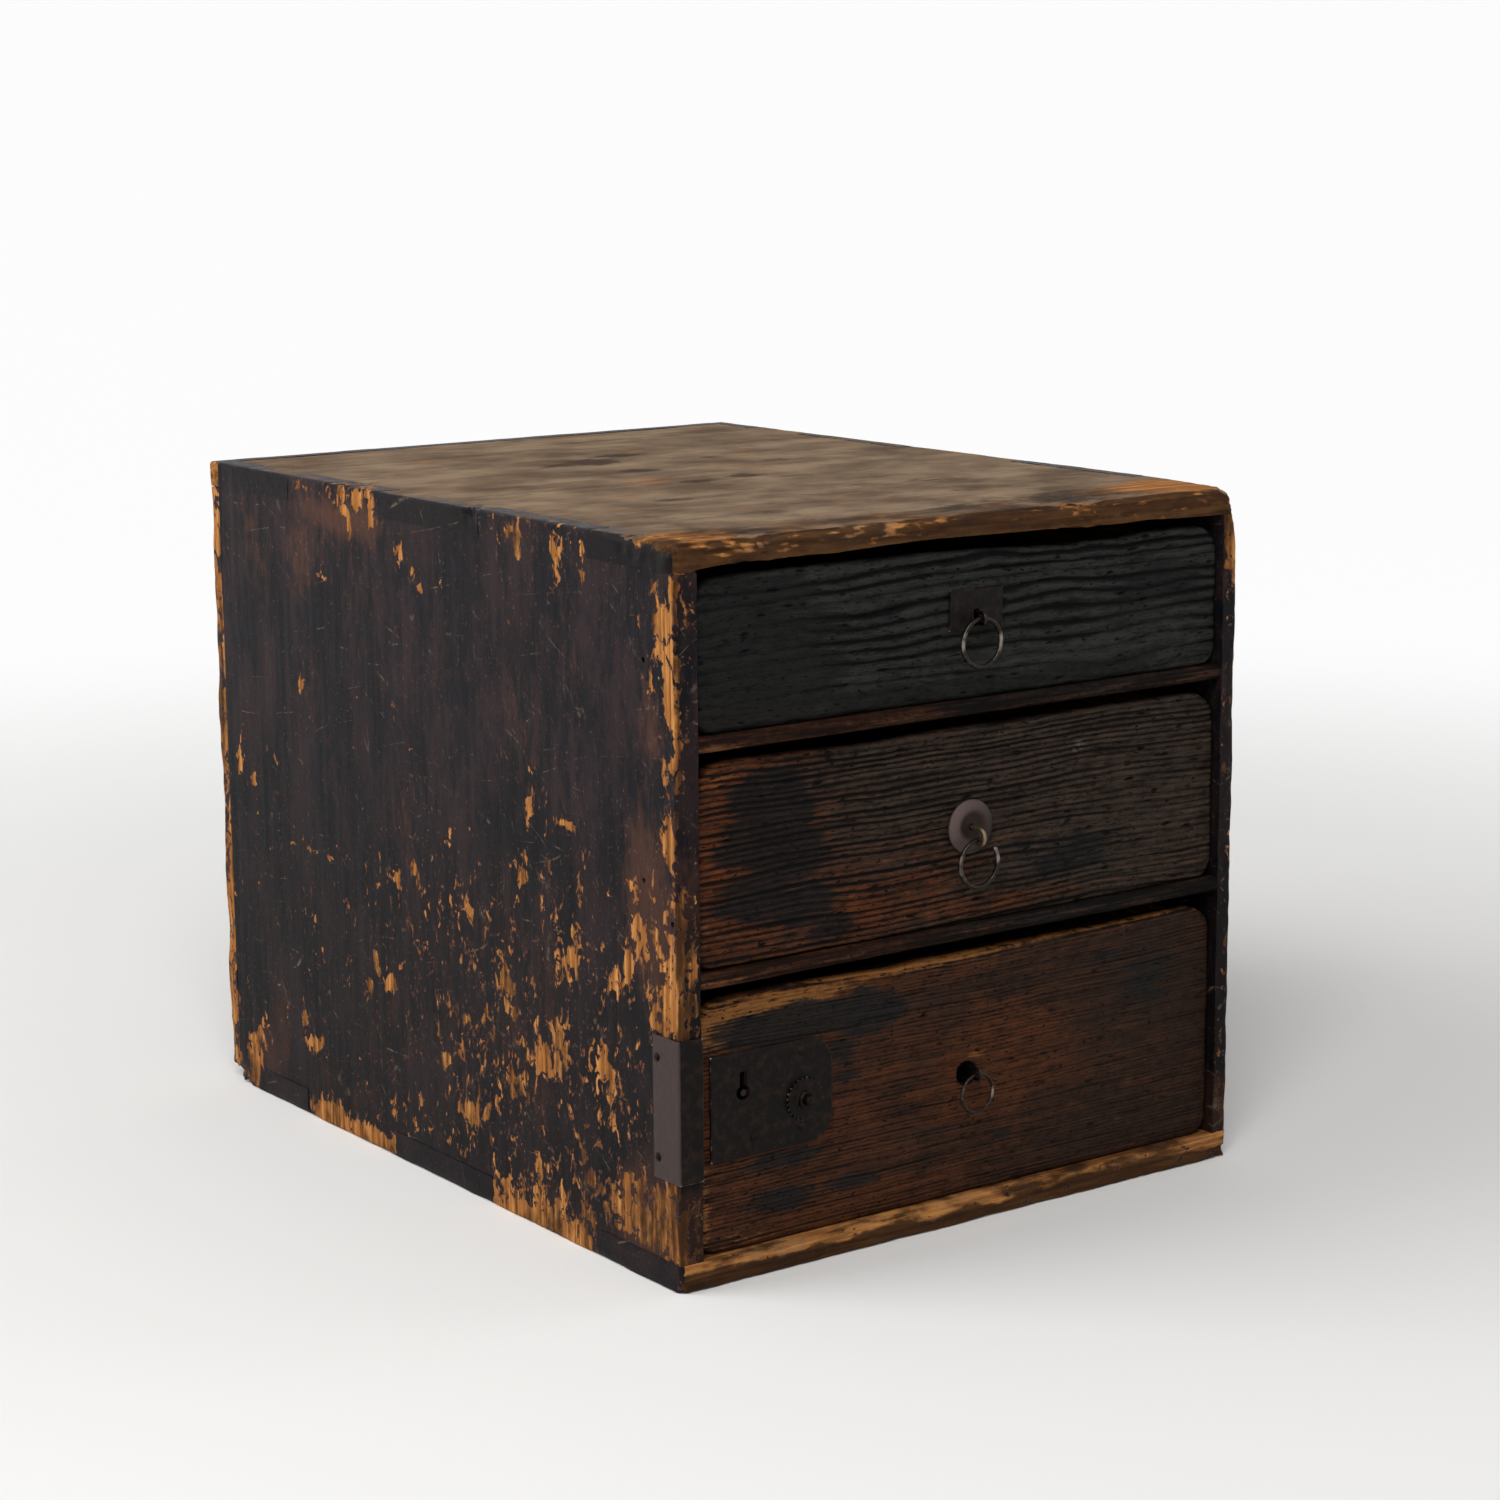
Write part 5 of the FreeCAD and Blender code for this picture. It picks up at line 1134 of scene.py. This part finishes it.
class CHEST_OT_rings(bpy.types.Operator):
    """Model the three ring pulls as bent wire"""
    bl_idname = "chest.rings"
    bl_label = "Rings"

    def execute(self, context):
        finish = context.scene.chest_finish
        # The pale wire colour is laid on where the ring is rubbed and where its highlight is painted.
        wire = old_metal("hand_darkened_iron_wire", finish, finish.wire, 0.5, 0.3, 1.0, linear("#8d857c"))
        for seed, drawer in enumerate(("top", "middle", "bottom")):
            node = f"ring_{drawer}"
            low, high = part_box(node)
            minor = (high.y - low.y) / 2
            major = (high.x - low.x) / 2 - minor
            piece = start("torus", major_radius=major, minor_radius=minor, major_segments=144,
                          minor_segments=20, location=(low + high) / 2, rotation=(math.pi / 2, 0, 0))
            piece.name = piece.data.name = node + "_wire"
            middle = np.array((low + high) / 2)
            if drawer == "middle":
                self.break_ring(piece, middle)
            rows = places(piece)
            turn = np.arctan2(rows[:, 2] - middle[2], rows[:, 0] - middle[0])
            core = middle + major * np.stack((np.cos(turn), np.zeros(len(turn)), np.sin(turn)), 1)
            slim = 1 - 0.05 * np.clip(0.5 + rough(rows, (5, 5, 5), 230 + seed, 2), 0, 1)
            if drawer == "middle":
                tip = np.min([abs(np.degrees(turn) - end) for end in TIPS], axis=0) / TAPER
                slim = slim * np.sqrt(np.clip(1 - (1 - np.clip(tip, 0, 1)) ** 2, 0.16, 1))
            rows = core + (rows - core) * slim[:, None]
            move(piece, rows)
            # Rubbed wire here and there, and a painted highlight on the ring's left and right sides.
            store(piece, rub=0.5 * rough(rows, (7, 7, 7), 240 + seed, 2) + 0.5 * np.cos(turn) ** 2)
            finish_piece(piece, node, f"pull_{drawer}", wire, 60)
        return {"FINISHED"}

    def break_ring(self, piece, middle):
        """Take out the stretch that the broken ring has lost, and close its ends."""
        away = read(piece.data.polygons, "center", 3) - middle
        turn = np.degrees(np.arctan2(away[:, 2], away[:, 0]))
        choose(piece, "polygons", (turn > GAP[0]) & (turn < GAP[1]))
        bpy.ops.mesh.delete(type="FACE")
        bpy.ops.mesh.select_mode(type="VERT")
        bpy.ops.mesh.select_non_manifold()
        bpy.ops.mesh.edge_face_add()
        bpy.ops.object.mode_set(mode="OBJECT")


class CHEST_OT_plain_parts(bpy.types.Operator):
    """Dress the parts whose shape needs no more work"""
    bl_idname = "chest.plain_parts"
    bl_label = "Inside, nails, lock and pegs"

    def execute(self, context):
        finish = context.scene.chest_finish
        aged = (linear("#59401f"), finish.inside, linear("#a07c50"))
        whittled = [linear(tone) for tone in ("#5f4529", "#83623c", "#a58257")]
        slots = {
            "bare_cedar": plain_wood("bare_cedar_inside", 1, aged),
            "peg_wood": plain_wood("whittled_peg_wood", 2, whittled),
            "dark_iron": old_metal("dull_iron", finish, finish.iron, 0.5, 0.45, 0.7),
            "ring_iron": old_metal("drawn_iron_wire", finish, finish.wire, 0.45, 0.34, 1.0),
            "staple_brass": old_metal("dull_brass_wire", finish, finish.brass, 0.35, 0.38, 0.9),
        }
        for row in frame["record"]["subparts"]:
            if row["material_slot"] in slots:
                piece = frame["nodes"][row["node"]]
                piece.data.materials.clear()
                piece.data.materials.append(slots[row["material_slot"]])
        return {"FINISHED"}


# ---------------------------------------------------------------- stage

# The backdrop, in metres: the floor's width, its middle's y, the wall's height and the sweep between.
FLOOR_WIDTH, FLOOR_MIDDLE, WALL_HEIGHT, SWEEP = 14, -3, 6, 2.4
# The lamps: name, place and width in metres, and power in watts.
LAMPS = (
    ("window", (-1.75, 0.75, 1.55), 1.4, 28),
    ("high_window", (-1.2, -1.45, 2.0), 1.1, 34),
    ("right_fill", (2.0, -0.6, 1.0), 1.4, 5),
)


class StageSettings(bpy.types.PropertyGroup):
    """Camera, lamps and floor."""
    place: FloatVectorProperty(name="Camera place", description="Where the camera stands", size=3,
                               default=(-0.86626, -1.22736, 0.46765), subtype="TRANSLATION", unit="LENGTH")
    azimuth: FloatProperty(name="Azimuth", description="Turn about the vertical", subtype="ANGLE",
                           default=-0.6268434)
    elevation: FloatProperty(name="Elevation", description="Look down", subtype="ANGLE", default=0.1931544)
    roll: FloatProperty(name="Roll", description="Lean of the camera", subtype="ANGLE", default=-0.00754797)
    lens: FloatProperty(name="Lens", description="Focal length in mm on a 36 mm sensor", default=80.63)
    floor: paint("Floor", "Floor and backdrop", "#f0efed")
    sweep_steps: IntProperty(name="Sweep steps", description="Steps in the backdrop's curve", min=3,
                             default=16)


class CHEST_OT_stage(bpy.types.Operator):
    """Set out the floor, the lamps and the camera"""
    bl_idname = "chest.stage"
    bl_label = "Stage"

    def execute(self, context):
        stage = context.scene.chest_stage
        self.backdrop(stage)
        for lamp in LAMPS:
            self.lamp(*lamp)
        self.world()
        self.camera(stage)
        context.scene.view_settings.view_transform = "Standard"
        return {"FINISHED"}

    def backdrop(self, stage):
        """A floor that sweeps up into a wall behind the chest."""
        floor = start("plane", size=FLOOR_WIDTH, location=(0, FLOOR_MIDDLE, 0))
        floor.name = "floor"
        rear_edge = FLOOR_MIDDLE + FLOOR_WIDTH / 2 - 0.1
        choose(floor, "edges", (places(floor)[edge_ends(floor)][:, :, 1] > rear_edge).all(1))
        bpy.ops.mesh.extrude_region_move(TRANSFORM_OT_translate={"value": (0, 0, WALL_HEIGHT)})
        bpy.ops.object.mode_set(mode="OBJECT")
        ends = places(floor)[edge_ends(floor)]
        choose(floor, "edges", (ends[:, :, 1] > rear_edge).all(1) & (ends[:, :, 2] < 0.1).all(1))
        bpy.ops.mesh.bevel(offset=SWEEP, segments=stage.sweep_steps)
        bpy.ops.object.mode_set(mode="OBJECT")
        look(floor)
        bpy.ops.object.shade_smooth()
        material, tree = new_material("plain_paper_sweep")
        near = add(tree, "VectorMath", {0: add(tree, "TexCoord").outputs["Object"]}, operation="LENGTH")
        far = spread(tree, 0.3, 1.5, (near.outputs["Value"], 1), reach=0.96)
        share = add(tree, "Math", {0: self.seen(tree), 1: far}, operation="MULTIPLY")
        plain = add(tree, "BsdfPrincipled", {"Base Color": stage.floor, "Roughness": 0.9,
                                             "Specular IOR Level": 0.2})
        white = add(tree, "Emission", {"Color": (1, 1, 1), "Strength": 1})
        mixed = add(tree, "MixShader", {0: share, 1: plain, 2: white})
        add(tree, "OutputMaterial", {"Surface": mixed})
        floor.data.materials.append(material)

    def seen(self, tree):
        """1 where the camera, a glossy surface or glass looks."""
        rays = add(tree, "LightPath").outputs
        most = add(tree, "Math", {0: rays["Is Camera Ray"], 1: rays["Is Glossy Ray"]}, operation="MAXIMUM")
        return add(tree, "Math", {0: most, 1: rays["Is Transmission Ray"]}, operation="MAXIMUM")

    def lamp(self, name, place, size, power):
        """A square soft lamp that faces the chest."""
        bpy.ops.object.select_all(action="DESELECT")
        bpy.ops.object.light_add(type="AREA", location=place)
        lamp = bpy.context.object
        lamp.name = name
        lamp.data.size = size
        lamp.data.energy = power
        aim = Vector((0, 0, 0.15)) - Vector(place)
        lamp.rotation_euler = aim.to_track_quat("-Z", "Y").to_euler()

    def world(self):
        """Even light from all round, and white wherever no floor is seen."""
        world = bpy.data.worlds.new("studio")
        bpy.context.scene.world = world
        world.use_nodes = True
        tree = world.node_tree
        tree.nodes.clear()
        strength = add(tree, "MapRange", {"Value": self.seen(tree), "To Min": 0.32, "To Max": 1})
        light = add(tree, "Background", {"Color": (1, 1, 1), "Strength": strength})
        add(tree, "OutputWorld", {"Surface": light})

    def camera(self, stage):
        """The camera, in front of the chest and to its left."""
        a, e, roll = stage.azimuth, stage.elevation, stage.roll
        back = Vector((math.sin(a) * math.cos(e), -math.cos(a) * math.cos(e), math.sin(e)))
        right = Vector((0, 0, 1)).cross(back).normalized()
        up = back.cross(right)
        turned = (math.cos(roll) * right + math.sin(roll) * up, math.cos(roll) * up - math.sin(roll) * right)
        bpy.ops.object.camera_add()
        camera = bpy.context.object
        camera.matrix_world = Matrix.Translation(stage.place) @ Matrix((*turned, back)).transposed().to_4x4()
        camera.data.lens = stage.lens
        camera.data.sensor_width = 36
        camera.data.clip_start = 0.05
        camera.data.clip_end = 50
        bpy.context.scene.camera = camera


# ---------------------------------------------------------------- add-on

STEPS = (
    CHEST_OT_side_boards, CHEST_OT_top_board, CHEST_OT_bottom_board, CHEST_OT_back, CHEST_OT_rails,
    CHEST_OT_drawer_fronts, CHEST_OT_plates, CHEST_OT_rings, CHEST_OT_plain_parts, CHEST_OT_stage,
)


class CHEST_PT_panel(bpy.types.Panel):
    """The chest's steps and sizes"""
    bl_label = "Chest"
    bl_idname = "CHEST_PT_panel"
    bl_space_type = "VIEW_3D"
    bl_region_type = "UI"
    bl_category = "Chest"

    def draw(self, context):
        for step in STEPS:
            self.layout.operator(step.bl_idname)
        for group in (context.scene.chest_wear, context.scene.chest_finish, context.scene.chest_stage):
            for name in group.__annotations__:
                self.layout.prop(group, name)


GROUPS = {"chest_wear": ChestWear, "chest_finish": ChestFinish, "chest_stage": StageSettings}


def register():
    for group in (*GROUPS.values(), *STEPS, CHEST_PT_panel):
        bpy.utils.register_class(group)
    for name, group in GROUPS.items():
        setattr(bpy.types.Scene, name, PointerProperty(type=group))


def unregister():
    for name in GROUPS:
        delattr(bpy.types.Scene, name)
    for group in (CHEST_PT_panel, *reversed(STEPS), *GROUPS.values()):
        bpy.utils.unregister_class(group)


def main():
    register()
    for step in STEPS:
        group, name = step.bl_idname.split(".")
        getattr(getattr(bpy.ops, group), name)()


if __name__ == "__main__":
    main()
